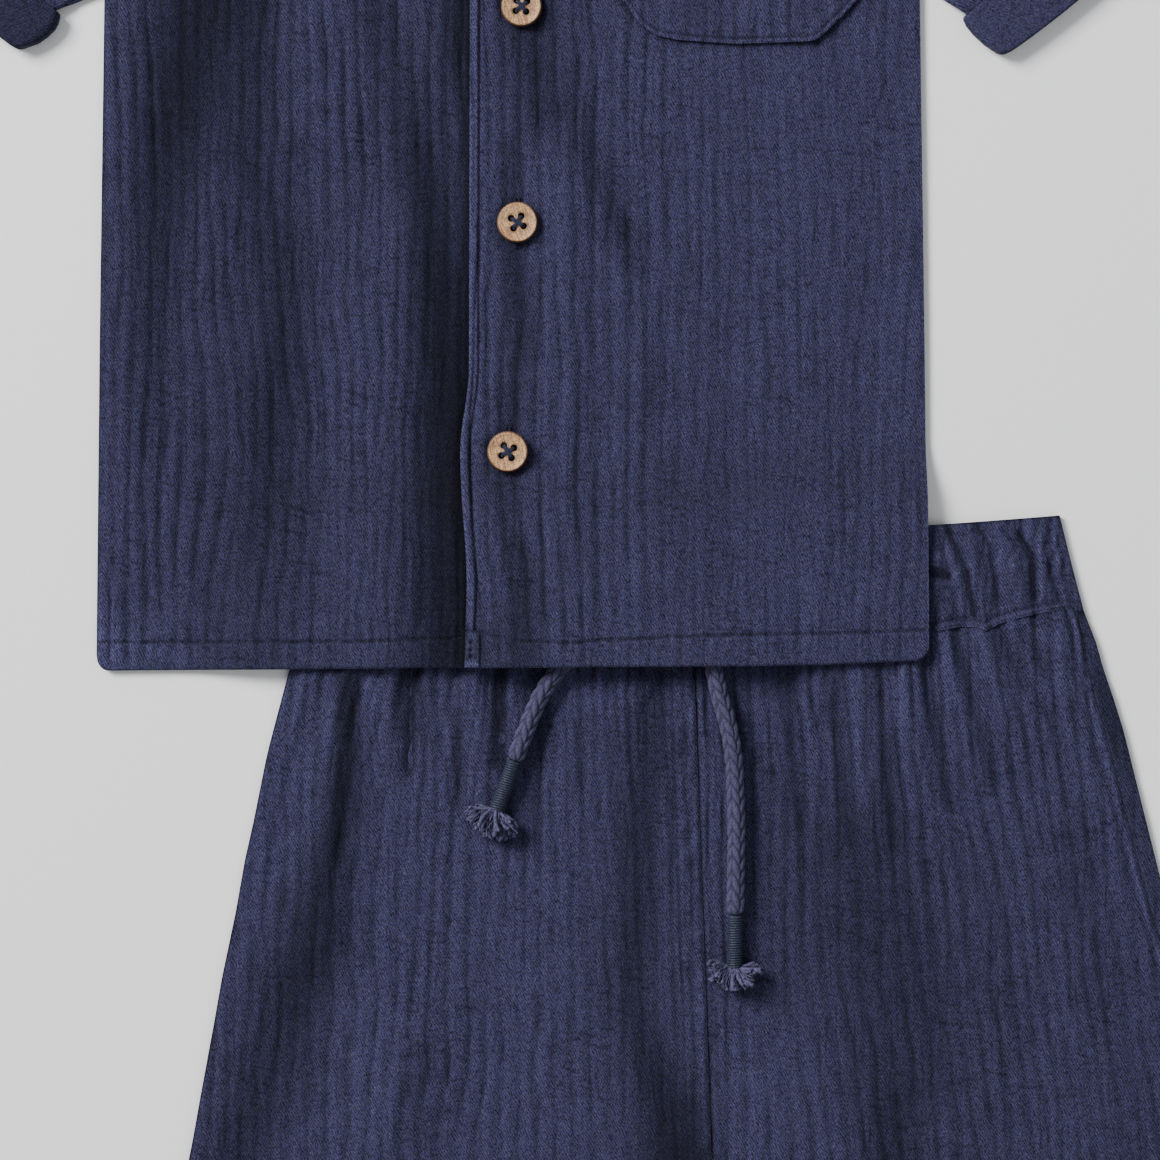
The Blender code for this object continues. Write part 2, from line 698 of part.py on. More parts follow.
def make_waistband():
    """A gathered casing laid flat, a ring with its back half on the surface and its front half waved."""
    top_parts = even_parts(2 * GATHERS_PER_PANEL * POINTS_PER_GATHER)
    rows = []
    for down_part in WAISTBAND_ROWS:
        half = mix(WAIST_HALF, CASING_HALF - SEAM_GAP, down_part)
        left, right = Vector((-half, 0, 0)), Vector((half, 0, 0))
        top = waistband_top(half, down_part)
        ring = []
        for point, normal in flat_ring(left, right, GROUND_MID, top, WAISTBAND_BACK_COLUMNS, top_parts):
            below = mix(waist_edge(point.x), casing_seam(point.x), down_part)
            x, y = from_shorts(point.x, below)
            ring.append((Vector((x, y, point.z)), Vector(from_shorts_direction(normal))))
        rows.append(ring)
    return wall_from_rows("waistband", rows, "gauze", closed=True)


def from_shorts_direction(normal):
    turn_cos, turn_sin = math.cos(SHORTS_TURN), math.sin(SHORTS_TURN)
    return normal.x * turn_cos, normal.x * turn_sin, normal.z


def waistband_top(half, down_part):
    def height(part):
        across = half * (2 * part - 1)
        wave = GATHER_HEIGHT * gather_wave(2 * part)
        puff = WAISTBAND_PUFF * math.sin(math.pi * down_part)
        ends = smooth_step(min(part, 1 - part) * 14)
        below = mix(waist_edge(across), casing_seam(across), down_part)
        flattened = calm_centre(across) * unpressed(*from_shorts(across, below))
        return FRONT_MID + (wave + puff) * ends * flattened
    return height


# Drawstring

def smooth_route(route, step):
    """Points a step apart along a smooth curve through the route's own points."""
    points = [Vector(point) for point in route]
    ends = [2 * points[0] - points[1], *points, 2 * points[-1] - points[-2]]
    fine = []
    for a, b, c, d in zip(ends, ends[1:], ends[2:], ends[3:]):
        for i in range(12):
            t = i / 12
            square = (2 * a - 5 * b + 4 * c - d) * t**2
            cube = (3 * b - a - 3 * c + d) * t**3
            fine.append(0.5 * (2 * b + (c - a) * t + square + cube))
    fine.append(points[-1])
    lengths = [0.0]
    for a, b in zip(fine, fine[1:]):
        lengths.append(lengths[-1] + (b - a).length)
    count = max(2, round(lengths[-1] / step))
    spaced = []
    for i in range(count + 1):
        target = lengths[-1] * i / count
        place = next((k for k in range(1, len(fine)) if lengths[k] >= target), len(fine) - 1)
        part = (target - lengths[place - 1]) / (lengths[place] - lengths[place - 1])
        spaced.append(mix(fine[place - 1], fine[place], min(part, 1)))
    return spaced


def make_cord(name, route):
    points = smooth_route(route, CORD_STEP)
    curve = bpy.data.curves.new(name, "CURVE")
    curve.dimensions = "3D"
    curve.bevel_depth = CORD_DIAMETER / 2 * MM
    curve.bevel_resolution = 2
    curve.use_fill_caps = True
    spline = curve.splines.new("POLY")
    spline.points.add(len(points) - 1)
    for target, point in zip(spline.points, points):
        target.co = (*(point * MM), 1)
    curve.materials.append(material("cord"))
    made = bpy.data.objects.new(name, curve)
    bpy.context.scene.collection.objects.link(made)
    return made


def place_along(bm, start, direction):
    """Turns a shape made up +Z so that it points along a direction, and moves it to its start."""
    turn = Vector((0, 0, 1)).rotation_difference(direction).to_matrix().to_4x4()
    bmesh.ops.transform(bm, matrix=turn, verts=bm.verts)
    bmesh.ops.translate(bm, vec=start, verts=bm.verts)


def make_whipping(name, end, direction):
    radius = WHIPPING_DIAMETER / 2
    profile = [Turned(radius - 0.5, 0), Turned(radius, 0.7), Turned(radius, WHIPPING_LENGTH - 0.7),
               Turned(radius - 0.5, WHIPPING_LENGTH)]
    bm = turned_shape(profile, WHIPPING_SIDES)
    place_along(bm, end + direction * SEAM_GAP, direction)
    return add_object(name, bm, "whipping")


def make_tuft(name, start, direction, length, spread):
    """Frayed cord end: strands drawn out of the faces of one small head, fanned across the cloth."""
    radius = WHIPPING_DIAMETER / 2 - 0.2
    bm = turned_shape([Turned(radius, 0), Turned(radius, TUFT_HEAD_LENGTH)], TUFT_SIDES)
    bm.faces.ensure_lookup_table()
    cap = max(bm.faces, key=lambda face: face.calc_center_median().z)
    bmesh.ops.inset_individual(bm, faces=[cap], thickness=radius * 0.45)
    bmesh.ops.poke(bm, faces=[cap])
    end_height = TUFT_HEAD_LENGTH * 0.9
    roots = [face for face in bm.faces if face.normal.z > 0.9 and face.calc_center_median().z > end_height]
    bmesh.ops.inset_individual(bm, faces=roots, thickness=radius * 0.07)
    place_along(bm, start, direction)
    across = Vector((-direction.y, direction.x, 0)).normalized()
    for number, root in enumerate(roots):
        centre = root.calc_center_median() - start
        out = centre.dot(across) / radius
        angle = math.radians(spread) * (out + 0.18 * math.sin(number * 2.4))
        heading = direction * math.cos(angle) + across * math.sin(angle)
        lift = max(centre.z, 0) * 0.08
        step = heading * length * (0.42 + 0.08 * math.sin(number * 1.7)) + Vector((0, 0, lift))
        for size in (0.85, 0.5):
            grown = bmesh.ops.extrude_discrete_faces(bm, faces=[root])["faces"]
            root = grown[0]
            middle = root.calc_center_median()
            for vert in root.verts:
                vert.co = middle + (vert.co - middle) * size + step
    return add_object(name, bm, "cord")


def make_eyelet(name, place):
    half = EYELET_THICKNESS / 2
    inner, outer = EYELET_INNER, EYELET_OUTER
    section = [Turned(inner, -half), Turned(outer, -half), Turned(outer, half), Turned(inner, half)]
    bm = bmesh.new()
    sides = EYELET_SIDES
    rings = []
    for i in range(sides):
        angle = 2 * math.pi * i / sides
        rings.append([bm.verts.new((r * math.cos(angle), r * math.sin(angle), h)) for r, h in section])
    for i in range(sides):
        near, far = rings[i], rings[(i + 1) % sides]
        for j in range(4):
            k = (j + 1) % 4
            bm.faces.new((near[j], near[k], far[k], far[j]))
    top = FRONT_MID + WALL / 2 + SEAM_GAP + half
    bmesh.ops.translate(bm, vec=(place.x, place.y, top), verts=bm.verts)
    return add_object(name, bm, "whipping")


def make_drawstring():
    for side, route in CORD_ROUTES.items():
        make_cord("drawstring_" + side, route)
        end = Vector(route[-1])
        direction = (end - Vector(route[-2])).normalized()
        lowered = Vector((0, 0, -(CORD_DIAMETER - WHIPPING_DIAMETER) / 2))
        make_whipping("whipping_" + side, end + lowered, direction)
        tuft_start = end + lowered + direction * (WHIPPING_LENGTH + 2 * SEAM_GAP)
        make_tuft("tuft_" + side, tuft_start, direction, TUFT_LENGTHS[side], TUFT_SPREAD[side])
        make_eyelet("eyelet_" + side, EYELETS[side])


def centre_on_origin():
    """Moves everything so that the set's box, without the cords, is centred over the origin."""
    bpy.context.view_layer.update()
    corners = []
    for piece in bpy.data.objects:
        if piece.type == "MESH" and not piece.hide_render:
            corners += [piece.matrix_world @ Vector(corner) for corner in piece.bound_box]
    middle_x = (min(c.x for c in corners) + max(c.x for c in corners)) / 2
    middle_y = (min(c.y for c in corners) + max(c.y for c in corners)) / 2
    for piece in bpy.data.objects:
        piece.location -= Vector((middle_x, middle_y, 0))


def main():
    clear_scene()
    make_shirt_body()
    for sleeve in SLEEVES:
        make_sleeve(sleeve)
        make_cuff(sleeve)
    make_collar()
    make_pocket()
    make_buttons()
    make_shorts_front("shorts_front_left", -1, rolled=False)
    make_shorts_front("shorts_front_right", 1, rolled=True)
    make_shorts_back("shorts_back_left", -1, rolled=False)
    make_shorts_back("shorts_back_right", 1, rolled=True)
    make_waistband()
    make_drawstring()
    centre_on_origin()


main()
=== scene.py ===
import math

import bpy
import numpy as np
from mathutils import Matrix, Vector


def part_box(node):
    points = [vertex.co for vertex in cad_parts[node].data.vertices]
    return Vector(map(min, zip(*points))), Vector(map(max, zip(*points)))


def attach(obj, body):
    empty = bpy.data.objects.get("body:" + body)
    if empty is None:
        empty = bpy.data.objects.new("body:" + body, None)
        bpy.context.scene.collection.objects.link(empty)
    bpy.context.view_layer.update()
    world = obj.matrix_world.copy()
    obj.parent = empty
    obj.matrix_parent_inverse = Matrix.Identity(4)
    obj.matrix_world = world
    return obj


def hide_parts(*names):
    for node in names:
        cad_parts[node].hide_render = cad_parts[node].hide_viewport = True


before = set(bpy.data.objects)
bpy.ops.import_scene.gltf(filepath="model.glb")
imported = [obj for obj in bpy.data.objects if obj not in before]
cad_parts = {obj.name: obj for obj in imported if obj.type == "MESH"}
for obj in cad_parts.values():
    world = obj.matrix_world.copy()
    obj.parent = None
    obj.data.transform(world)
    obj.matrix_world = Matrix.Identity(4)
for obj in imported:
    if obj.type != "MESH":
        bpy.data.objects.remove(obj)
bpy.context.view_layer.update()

# Everything below is in millimetres in the shirt's own frame: across from its centre line, up from its hem.
mm = 0.001
backLow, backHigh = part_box("shirt_back")
cloth = dict(wall=1.2, gap=0.3, thickness=0.7, edgeRound=1.1)
layer = cloth["wall"] + cloth["gap"]
groundMid = cloth["wall"] / 2
frontMidHeight = groundMid + layer

shirt = dict(
    sides=[(0, 152.4), (120, 151.2), (250, 149.4), (300, 145.0), (371, 138.3), (400, 138.3)],
    hem=[(-1, -1.1), (-0.1, 0.2), (0.74, 1.1), (1, 2.9)],
    placketWander=[(0, 0.3), (32, 1.0), (79, -1.6), (110, 1.6), (400, 1.8)],
    halfHem=152.4, halfShoulder=138.3, shoulder=371.0, armpit=250.0, neckHalf=65.0, neckTop=390.0,
    frontNeck=330.0, backNeck=378.0, neckCurve=2.2, placket=-17.5, underEdge=18.0, lapEase=12.0,
    facingLine=11.3, lipWidth=3.3, edgeEase=24.0,
    hemUnder=[(-152, 10.4), (-60, 9.8), (-17, 10.8), (18, 11)],
    hemOver=[(-17.5, 13.8), (-13.7, 13.4), (-1.9, 10.7), (3, 9.8), (17.6, 8.8), (47, 10.2), (80, 11.4), (152, 11)],
    hemEnd=dict(x=-11.6, low=0.8, top=13.4, hole=-14.9),
)
originX = (backLow.x + backHigh.x) / 2 / mm
originY = backHigh.y / mm - shirt["neckTop"]

# x0, y0, x1, y1, width, height of each fold; a minus height is a trough
shirtFolds = [
    (-46, 6, -41, 150, 15, 3.2), (-112, 150, -118, 320, 16, 2.6), (-76, 205, -62, 310, 15, 2.0),
    (-98, 15, -103, 110, 15, 2.0), (60, 40, 50, 190, 17, 2.2), (106, 60, 113, 215, 16, 2.4),
]
shirtCreases = [
    (-128, 170, -131, 250, 5, -0.7), (-118, 20, -122, 120, 6, 0.5), (-70, 20, -66, 150, 6, -0.6),
    (-30, 20, -29, 160, 6, -0.5), (-34, 190, -37, 300, 7, 0.5), (-88, 110, -84, 190, 6, 0.5),
    (24, 20, 26, 160, 5, -0.4), (36, 120, 34, 220, 6, 0.4), (78, 20, 82, 120, 6, -0.5),
    (92, 110, 96, 200, 6, 0.4), (128, 30, 133, 150, 6, -0.5), (136, 150, 130, 250, 6, 0.4),
    (48, 12, 47, 60, 4, 0.4), (66, 14, 64, 70, 4, -0.4), (112, 14, 114, 50, 4, 0.4),
    (-114, 150, -119, 320, 14, -1.4), (-140, 40, -139, 300, 9, 1.1), (-61, 140, -58, 300, 9, 1.2),
    (-57, 20, -61, 130, 9, 0.9), (60, 40, 50, 190, 17, -1.3), (106, 60, 113, 215, 16, -1.4), (22, 30, 20, 190, 7, 0.7), (14, 190, 22, 250, 6, 0.5),
]
# painted shade in the broad hollow beside each fold, and painted light where the darkness is below zero; the cloth also
# sinks there: lines of (across, up, half width, darkness)
leftHollowShade = [
    [(-112, 266.4, 19, 0.6), (-115.7, 237.2, 19, 0.7), (-122.2, 204.2, 18, 0.67),
     (-127.4, 178.6, 14, 0.56), (-129.9, 153, 10, 0.46), (-131.4, 123.7, 9, 0.36), (-133.2, 94.4, 8, 0.2),
     (-134, 68.8, 8, 0.05)],
    [(-95.2, 244.5, 11, 0.42), (-94.4, 218.9, 11, 0.38), (-95.9, 196.9, 10, 0.3),
     (-91.5, 174.9, 10, 0.28), (-83.8, 153, 9, 0.3), (-84.5, 123.7, 9, 0.34), (-87.1, 94.4, 9.5, 0.36),
     (-89.3, 65.1, 8, 0.28), (-94.1, 39.5, 8, 0.06)],
    [(-48.3, 251.8, 8, 0.26), (-42.8, 222.5, 8, 0.3), (-37.3, 200.6, 9, 0.44), (-32.2, 178.6, 9.5, 0.54),
     (-27.8, 153, 10, 0.58), (-24.2, 123.7, 12, 0.68), (-22.7, 94.4, 13.5, 0.7), (-22, 65.1, 13.5, 0.68),
     (-22.3, 35.9, 13.5, 0.64), (-23.1, 6.6, 13, 0.6)],
    [(-19.8, 259.1, 5, 0.5), (-20.1, 226.2, 5, 0.48), (-20.9, 207.9, 4, 0.1)],
    [(-95.9, 200.6, 28, 0.04), (-97.7, 153, 32, 0.16), (-99.6, 98.1, 34, 0.2), (-88.6, 39.5, 34, 0.18),
     (-84.9, 17.6, 30, 0.04)],
    [(-151, 20, 8, -0.2), (-148, 6, 12, -0.6), (-134, 6, 12, -0.4), (-116, 6, 9, -0.12)],
]
# the same on the over front
rightHollowShade = [
    [(2.9, 259.1, 14, 0.52), (5.1, 244.5, 14, 0.52), (7.7, 222.5, 15, 0.5), (11, 204.2, 15, 0.44),
     (16.1, 187.8, 8, 0.12)],
    [(22, 207.9, 6, 0.14), (28.5, 189.6, 6.5, 0.28), (34.4, 176.8, 6.5, 0.38), (41.4, 156.6, 6.5, 0.36),
     (46.8, 141.3, 4, 0.15)],
    [(0, 189.6, 4.5, 0.35), (-0.4, 171.3, 5, 0.42), (0.4, 151.2, 5.5, 0.5), (4, 123.7, 5.5, 0.44),
     (-0.4, 94.4, 6.5, 0.42), (-4.4, 72.5, 8, 0.34), (-1.5, 54.2, 6, 0.36), (4.4, 35.9, 5.5, 0.46),
     (3.3, 10.2, 7, 0.46), (2.9, -1.5, 7, 0.42)],
    [(55.6, 123.7, 3, 0.08), (51.2, 98.1, 3.6, 0.26), (46.8, 68.8, 3.4, 0.1)],
]
# the same on the shorts, in the shirt's frame too
legHollowShade = [
    [(-61.9, 0, 4, 0.5), (-59.3, -11.7, 5, 0.5), (-58.9, -28.2, 6, 0.52), (-60.8, -48.3, 8, 0.52),
     (-66.6, -70.3, 9, 0.52), (-73.6, -95.9, 13, 0.58), (-80.5, -121.5, 14, 0.54),
     (-89.3, -147.1, 15, 0.44), (-99.6, -172.8, 13, 0.44), (-103.2, -187.4, 13, 0.44)],
    [(-4.4, 1.5, 3, 0.4), (-5.1, -13.5, 3, 0.5), (-4.4, -28.2, 3, 0.32), (-3.3, -48.3, 3, 0.26),
     (-2.6, -66.6, 3, 0.05)],
    [(-33.7, 1.5, 3, 0.3), (-33.7, -13.5, 3, 0.32), (-33.3, -28.2, 2.5, 0.1)],
    [(46.8, 1.5, 9, 0.3), (50.5, -26.4, 11, 0.42), (46.8, -48.3, 9, 0.42), (46.1, -70.3, 9, 0.45),
     (45.4, -95.9, 8, 0.48), (44.7, -121.5, 8, 0.46), (49.8, -143.5, 9.5, 0.55), (57.1, -161.8, 13, 0.64),
     (61.5, -181.9, 15, 0.72)],
    [(138.3, -26.4, 7, 0.08), (137.6, -48.3, 9, 0.12), (130.3, -70.3, 16, 0.32), (134, -95.9, 17, 0.38),
     (139.4, -121.5, 15, 0.4), (139.4, -147.1, 14, 0.4), (139.1, -172.8, 12, 0.42),
     (139.1, -187.4, 12, 0.42)],
    [(105.4, -26.4, 20, 0.1), (109.1, -59.3, 22, 0.24), (105.4, -95.9, 18, 0.26),
     (105.4, -121.5, 14, 0.24), (110.9, -143.5, 8, 0.05)],
    [(178.6, -33.7, 24, 0.08), (174.9, -84.9, 26, 0.12), (178.6, -136.2, 26, 0.12),
     (182.3, -176.4, 24, 0.1)],
    [(92.6, -132.5, 9, -0.02), (87.1, -150.8, 10, -0.1), (85.3, -180.1, 10, -0.12)],
    [(16.1, -84.9, 11, -0.08), (12.4, -121.5, 12, -0.14), (10.2, -176.4, 12, -0.12)],
    # painted light under the shirt's hem, against the shadow the hem casts
    [(12, -6, 6, -0.1), (22, -8, 8, -0.5), (42, -8, 8, -0.6), (54, -6, 6, -0.1)],
]
shorts = dict(
    x=64.8, y=55.6, turn=math.radians(2.05), waistTop=4.6, waistHalf=135.0, waistSag=3.2,
    seam=40.3, seamHalf=143.6, seamSag=6.0, crotch=236.0, innerHem=293.0, outerHem=283.0,
    halfGap=0.02, innerHemOut=6.0, roll=7.0, gathers=10, gatherHeight=1.7, gatherFade=60.0,
    calm=26.0, bandPuff=1.4, hemDepth=12.0, felledWidth=8.4,
    sides=[(4.6, 135.0), (40.3, 143.6), (51, 148.3), (84, 156.6), (139, 168.3), (229, 190.6), (283, 203.0),
           (300, 206.5)],
)
legEase = {
    "left": [(50, 0), (62, 0.7), (78, 1.5), (106, 2.2), (120, 2.9), (163, 2.9), (180, 2.3), (207, 1.6), (222, 1.1), (283, 0.6)],
    "right": [(0, 0.9), (30, 0.5), (40, 0), (50, -0.8), (60, -0.8), (72, -0.3), (82, 0)],
}
shortsFolds = [
    (-128, 50, -141, 150, 10, 2.4), (-110, 190, -128, 270, 14, 2.0), (62, 90, 76, 200, 13, 2.0),
    (126, 120, 150, 250, 14, 2.2), (38, 190, 60, 275, 12, 1.6),
]
# across, drift of the casing seam down the cloth
seamDrift = [(-144, 0), (-120, -1.4), (-96, 0.8), (-78, -0.6), (-60, 0), (76, 0), (89, 1.1), (98, 0.2), (104, 1.0),
             (107, 2.6), (112, 0.6), (120, -0.9), (129, -1.9), (136, -2.3), (141, -1.0), (144, -0.6)]
# across, depth below the waist edge (two ends), width, height of the pinched pleats in the waistband
bandCreases = [
    (95, 2, 101, 19, 1, -1.25), (101, 19, 103, 33, 1, -1.38), (92.5, 2, 97.5, 19, 1.3, 0.88), (97.5, 19, 99, 33, 1.3, 0.88),
    (121, 6, 125, 14, 1.1, -1.38), (125, 14, 125.5, 31, 1.1, -1.38), (128.5, 8, 129, 30, 1.5, 0.75),
    (86, 17, 94, 19, 1.7, -1.25), (85, 12, 95, 13, 2, 0.62), (110, 12, 113, 30, 1, -0.75), (114, 3, 118, 8, 0.8, -0.75),
    (106, 2, 110, 10, 0.9, -0.75), (113, 16, 121, 18, 1.5, 0.62), (133, 3, 137, 34, 0.9, 0.62), (131, 16, 134.5, 33, 0.8, -0.75),
    (-96, 3, -99, 32, 1.2, -1.25), (-112, 4, -114, 30, 1.2, -1), (-124, 3, -129, 32, 1.3, -1.12), (-84, 6, -86, 28, 1.2, 0.75),
    (-105, 6, -107, 31, 1.3, 0.75),
]
# the same for the pleats that start below the casing seam: across, depth below the seam
panelCreases = [
    (-103.5, 4, -105.5, 46, 2.6, -1.9), (-98, 4, -99, 40, 2.4, 0.9), (-111, 6, -114, 52, 3.0, 0.9),
    (-86, 8, -88, 60, 2.6, -1.0), (-80, 8, -81, 56, 2.4, 0.7), (-71, 8, -73, 44, 2.6, -1.6), (-66, 8, -68, 46, 2.4, 0.8),
    (-58, 8, -60, 70, 2.6, -0.9), (-49, 10, -50, 60, 2.6, 0.6), (-40, 10, -42, 52, 2.4, -0.8), (-124, 14, -132, 80, 3.0, -0.9),
    (-119, 14, -125, 74, 2.8, 0.8), (34, 10, 37, 70, 2.6, -1.0), (41, 10, 45, 64, 2.6, 0.7), (50, 8, 55, 76, 2.6, -1.1),
    (57, 8, 62, 60, 2.6, 0.6), (66, 8, 72, 80, 2.8, -1.0), (75, 8, 80, 62, 2.8, 0.7), (84, 6, 92, 66, 2.6, -1.1),
    (92, 4, 100, 40, 2.4, 0.7), (97, 2, 109, 60, 2.4, -1.0), (107, 3, 118, 50, 2.2, 0.6), (112, 2, 121, 26, 2.0, -0.8),
    (121, 6, 129, 20, 2.4, -0.7), (124, 22, 132, 28, 3.0, 0.6), (118, 14, 131, 40, 2.0, -0.6),
]
cord = dict(diameter=6.8, tip=32.0, pressed=6.0, pressedRamp=9.0, ridge=15.0, ridgeRamp=24.0, lift=11.2)
cordRoutes = {
    "left": [
        (60.4, 33.3, 7.5), (54.2, 28.0, 7.5), (41.4, 19.5, 7.4), (26.7, 9.6, 7.1), (17.2, -0.4, 6.9),
        (11.2, -9.0, 6.8), (7.2, -17.5, 6.7), (4.0, -25.6, 6.7), (1.1, -33.7, 6.7),
    ],
    "right": [
        (74.3, 34.0, 7.5), (73.2, 24.9, 7.5), (72.4, 13.9, 7.3), (73.2, 2.9, 6.9), (75.4, -8.1, 6.7),
        (78.7, -19.8, 6.7), (80.9, -31.8, 6.7), (81.6, -44.3, 6.7), (82.0, -59.3, 6.7), (81.8, -75.8, 6.7),
        (81.6, -90.0, 6.7),
    ],
}
lift = dict(band=6.3, panel=5.2, settle=1.9, ramp=36.0, topRamp=25.0, margin=5.0)


# Small sums used by every piece

def smoothStep(value):
    kept = np.clip(value, 0, 1)
    return kept * kept * (3 - 2 * kept)


def readTable(table, where):
    return np.interp(where, [row[0] for row in table], [row[1] for row in table])


def mix(a, b, part):
    return a + (b - a) * part


def segmentDistance(x, y, a, b):
    ax, ay = a[0], a[1]
    dx, dy = b[0] - ax, b[1] - ay
    part = np.clip(((x - ax) * dx + (y - ay) * dy) / (dx * dx + dy * dy), 0, 1)
    return np.hypot(x - ax - dx * part, y - ay - dy * part)


def foldsHeight(folds, x, y):
    total = np.zeros_like(x, dtype=float)
    for x0, y0, x1, y1, width, height in folds:
        total += height * np.exp(-(segmentDistance(x, y, (x0, y0), (x1, y1)) / width) ** 2)
    return total


def hollowShade(lines, x, y):
    # How much painted shade each point takes from the broad hollow lines (painted light where a darkness is below
    # zero), and how far down it sinks on a hollow's right side.
    dark, deep = np.zeros_like(x, dtype=float), np.zeros_like(x, dtype=float)
    for line in lines:
        nearest, sunk = np.zeros_like(dark), np.zeros_like(dark)
        for (x0, y0, width0, dark0), (x1, y1, width1, dark1) in zip(line, line[1:]):
            dx, dy = x1 - x0, y1 - y0
            part = np.clip(((x - x0) * dx + (y - y0) * dy) / (dx * dx + dy * dy), 0, 1)
            width, amount = mix(width0, width1, part), mix(dark0, dark1, part)
            away = np.hypot(x - x0 - dx * part, y - y0 - dy * part)
            value = amount * np.exp(-(away / width) ** 2)
            nearest = np.where(np.abs(value) > np.abs(nearest), value, nearest)
            shifted = np.hypot(x - 0.4 * width - x0 - dx * part, y - y0 - dy * part)
            value = amount * np.exp(-(shifted / width) ** 2)
            sunk = np.where(np.abs(value) > np.abs(sunk), value, sunk)
        dark = 1 - (1 - dark) * (1 - nearest)
        deep = np.where(np.abs(sunk) > np.abs(deep), sunk, deep)
    return 1 - dark, np.minimum(1.5 * deep, 0.8)


def softNoise(x, y, seed):
    # Smooth noise from -1 to 1 on a unit grid.
    values = np.random.RandomState(seed).uniform(-1, 1, (64, 64))
    xi, yi = np.floor(x).astype(int), np.floor(y).astype(int)
    u, v = smoothStep(x - xi), smoothStep(y - yi)
    a, b = values[xi % 64, yi % 64], values[(xi + 1) % 64, yi % 64]
    c, d = values[xi % 64, (yi + 1) % 64], values[(xi + 1) % 64, (yi + 1) % 64]
    return mix(mix(a, b, u), mix(c, d, u), v)


def crinkle(x, y, seed):
    # Uneven puffs between the wavering lines of the crinkled gauze, which run along y.
    drift = 0.70 * softNoise(x / 34, y / 80, seed) + 0.24 * softNoise(x / 9, y / 22, seed + 1)
    puff = np.abs(np.sin(math.pi * (x / 6.0 + drift))) ** 0.55 - 0.67
    region = 0.66 + 0.34 * softNoise(x / 34, y / 52, seed + 5)
    strength = region * (0.84 + 0.55 * softNoise(x / 7, y / 24, seed + 2))
    small = np.abs(np.sin(math.pi * (x / 3.2 + 0.7 * softNoise(x / 12, y / 30, seed + 6)))) - 0.64
    cells = softNoise(x / 5.2, y / 4.4, seed + 3)
    wide = softNoise(x / 11, y / 60, seed + 4)
    return 1.02 * puff * strength + 0.24 * small * (1.15 - region) + 0.20 * cells * region + 0.12 * wide


def crinkleShade(height):
    # Painted shade in the valleys of the crinkle, and a little painted light on its puffs.
    return np.clip(1 + 0.92 * height, 0.52, 1.14)


def spacedValues(start, end, step, fineSpots=()):
    # Even values with extra ones near the spots (place, half width, step).
    values = list(np.linspace(start, end, max(2, int(round(abs(end - start) / step)) + 1)))
    for place, half, fineStep in fineSpots:
        low, high = place - half, place + half
        values = [value for value in values if not low < value < high]
        values += list(np.linspace(max(low, start), min(high, end), max(2, int(round(2 * half / fineStep)) + 1)))
    return np.array(sorted(set(np.round(values, 4))))


# Meshes

def meshFromArrays(name, points, quads, uv=None, shade=None):
    mesh = bpy.data.meshes.new(name)
    placed = (points + np.array([originX, originY, 0.0])) * mm
    mesh.vertices.add(len(placed))
    mesh.vertices.foreach_set("co", placed.astype(np.float32).ravel())
    mesh.loops.add(quads.size)
    mesh.loops.foreach_set("vertex_index", quads.astype(np.int32).ravel())
    mesh.polygons.add(len(quads))
    mesh.polygons.foreach_set("loop_start", np.arange(0, quads.size, 4, dtype=np.int32))
    mesh.update(calc_edges=True)
    if uv is not None:
        layerUv = mesh.uv_layers.new(name="grain")
        layerUv.data.foreach_set("uv", (uv[quads.ravel()] * mm).astype(np.float32).ravel())
    # the shade attribute holds each point's painted shade and painted light, which the materials multiply into the
    # colour
    depth = mesh.attributes.new("shade", "FLOAT", "POINT")
    depth.data.foreach_set("value", (np.ones(len(points)) if shade is None else shade).astype(np.float32))
    mesh.validate()
    mesh.shade_smooth()
    obj = bpy.data.objects.new(name, mesh)
    bpy.context.scene.collection.objects.link(obj)
    return obj


def gridQuads(rows, columns, offset, closed, flip):
    i = np.arange(rows - 1)[:, None]
    j = np.arange(columns if closed else columns - 1)[None, :]
    k = (j + 1) % columns
    quads = np.stack([i * columns + j, i * columns + k, (i + 1) * columns + k, (i + 1) * columns + j], -1)
    quads = quads.reshape(-1, 4) + offset
    return quads[:, ::-1] if flip else quads


def shellObject(name, outer, inner, uv, closed=False, shade=None):
    # A closed wall of cloth between an outer and an inner grid of points.
    rows, columns = outer.shape[:2]
    count = rows * columns
    ids = np.arange(count).reshape(rows, columns)
    parts = [gridQuads(rows, columns, 0, closed, False), gridQuads(rows, columns, count, closed, True)]

    def rim(line):
        follow = np.roll(line, -1)
        pairs = np.stack([line, follow], -1)
        pairs = pairs if closed else pairs[:-1]
        return pairs

    for line, back in ((ids[0], True), (ids[-1], False)):
        pairs = rim(line)
        quad = np.stack([pairs[:, 0], pairs[:, 1], pairs[:, 1] + count, pairs[:, 0] + count], -1)
        parts.append(quad[:, ::-1] if back else quad)
    if not closed:
        for line, back in ((ids[:, 0], False), (ids[:, -1], True)):
            pairs = np.stack([line[:-1], line[1:]], -1)
            quad = np.stack([pairs[:, 0], pairs[:, 1], pairs[:, 1] + count, pairs[:, 0] + count], -1)
            parts.append(quad[:, ::-1] if back else quad)
    # rims are turned so that they face away from the wall, whichever way the grid runs
    quads = np.concatenate([parts[0], parts[1], *[part[:, ::-1] for part in parts[2:]]])
    a, b, c = outer[0, 0], outer[0, 1], outer[1, 0]
    faceNormal = np.cross(b - a, c - a)
    if np.dot(faceNormal, outer[0, 0] - inner[0, 0]) < 0:
        quads = quads[:, ::-1]
    points = np.concatenate([outer.reshape(-1, 3), inner.reshape(-1, 3)])
    bothUv = np.concatenate([uv.reshape(-1, 2), uv.reshape(-1, 2)])
    bothShade = None if shade is None else np.concatenate([shade.ravel(), shade.ravel()])
    return meshFromArrays(name, points, quads, bothUv, bothShade)


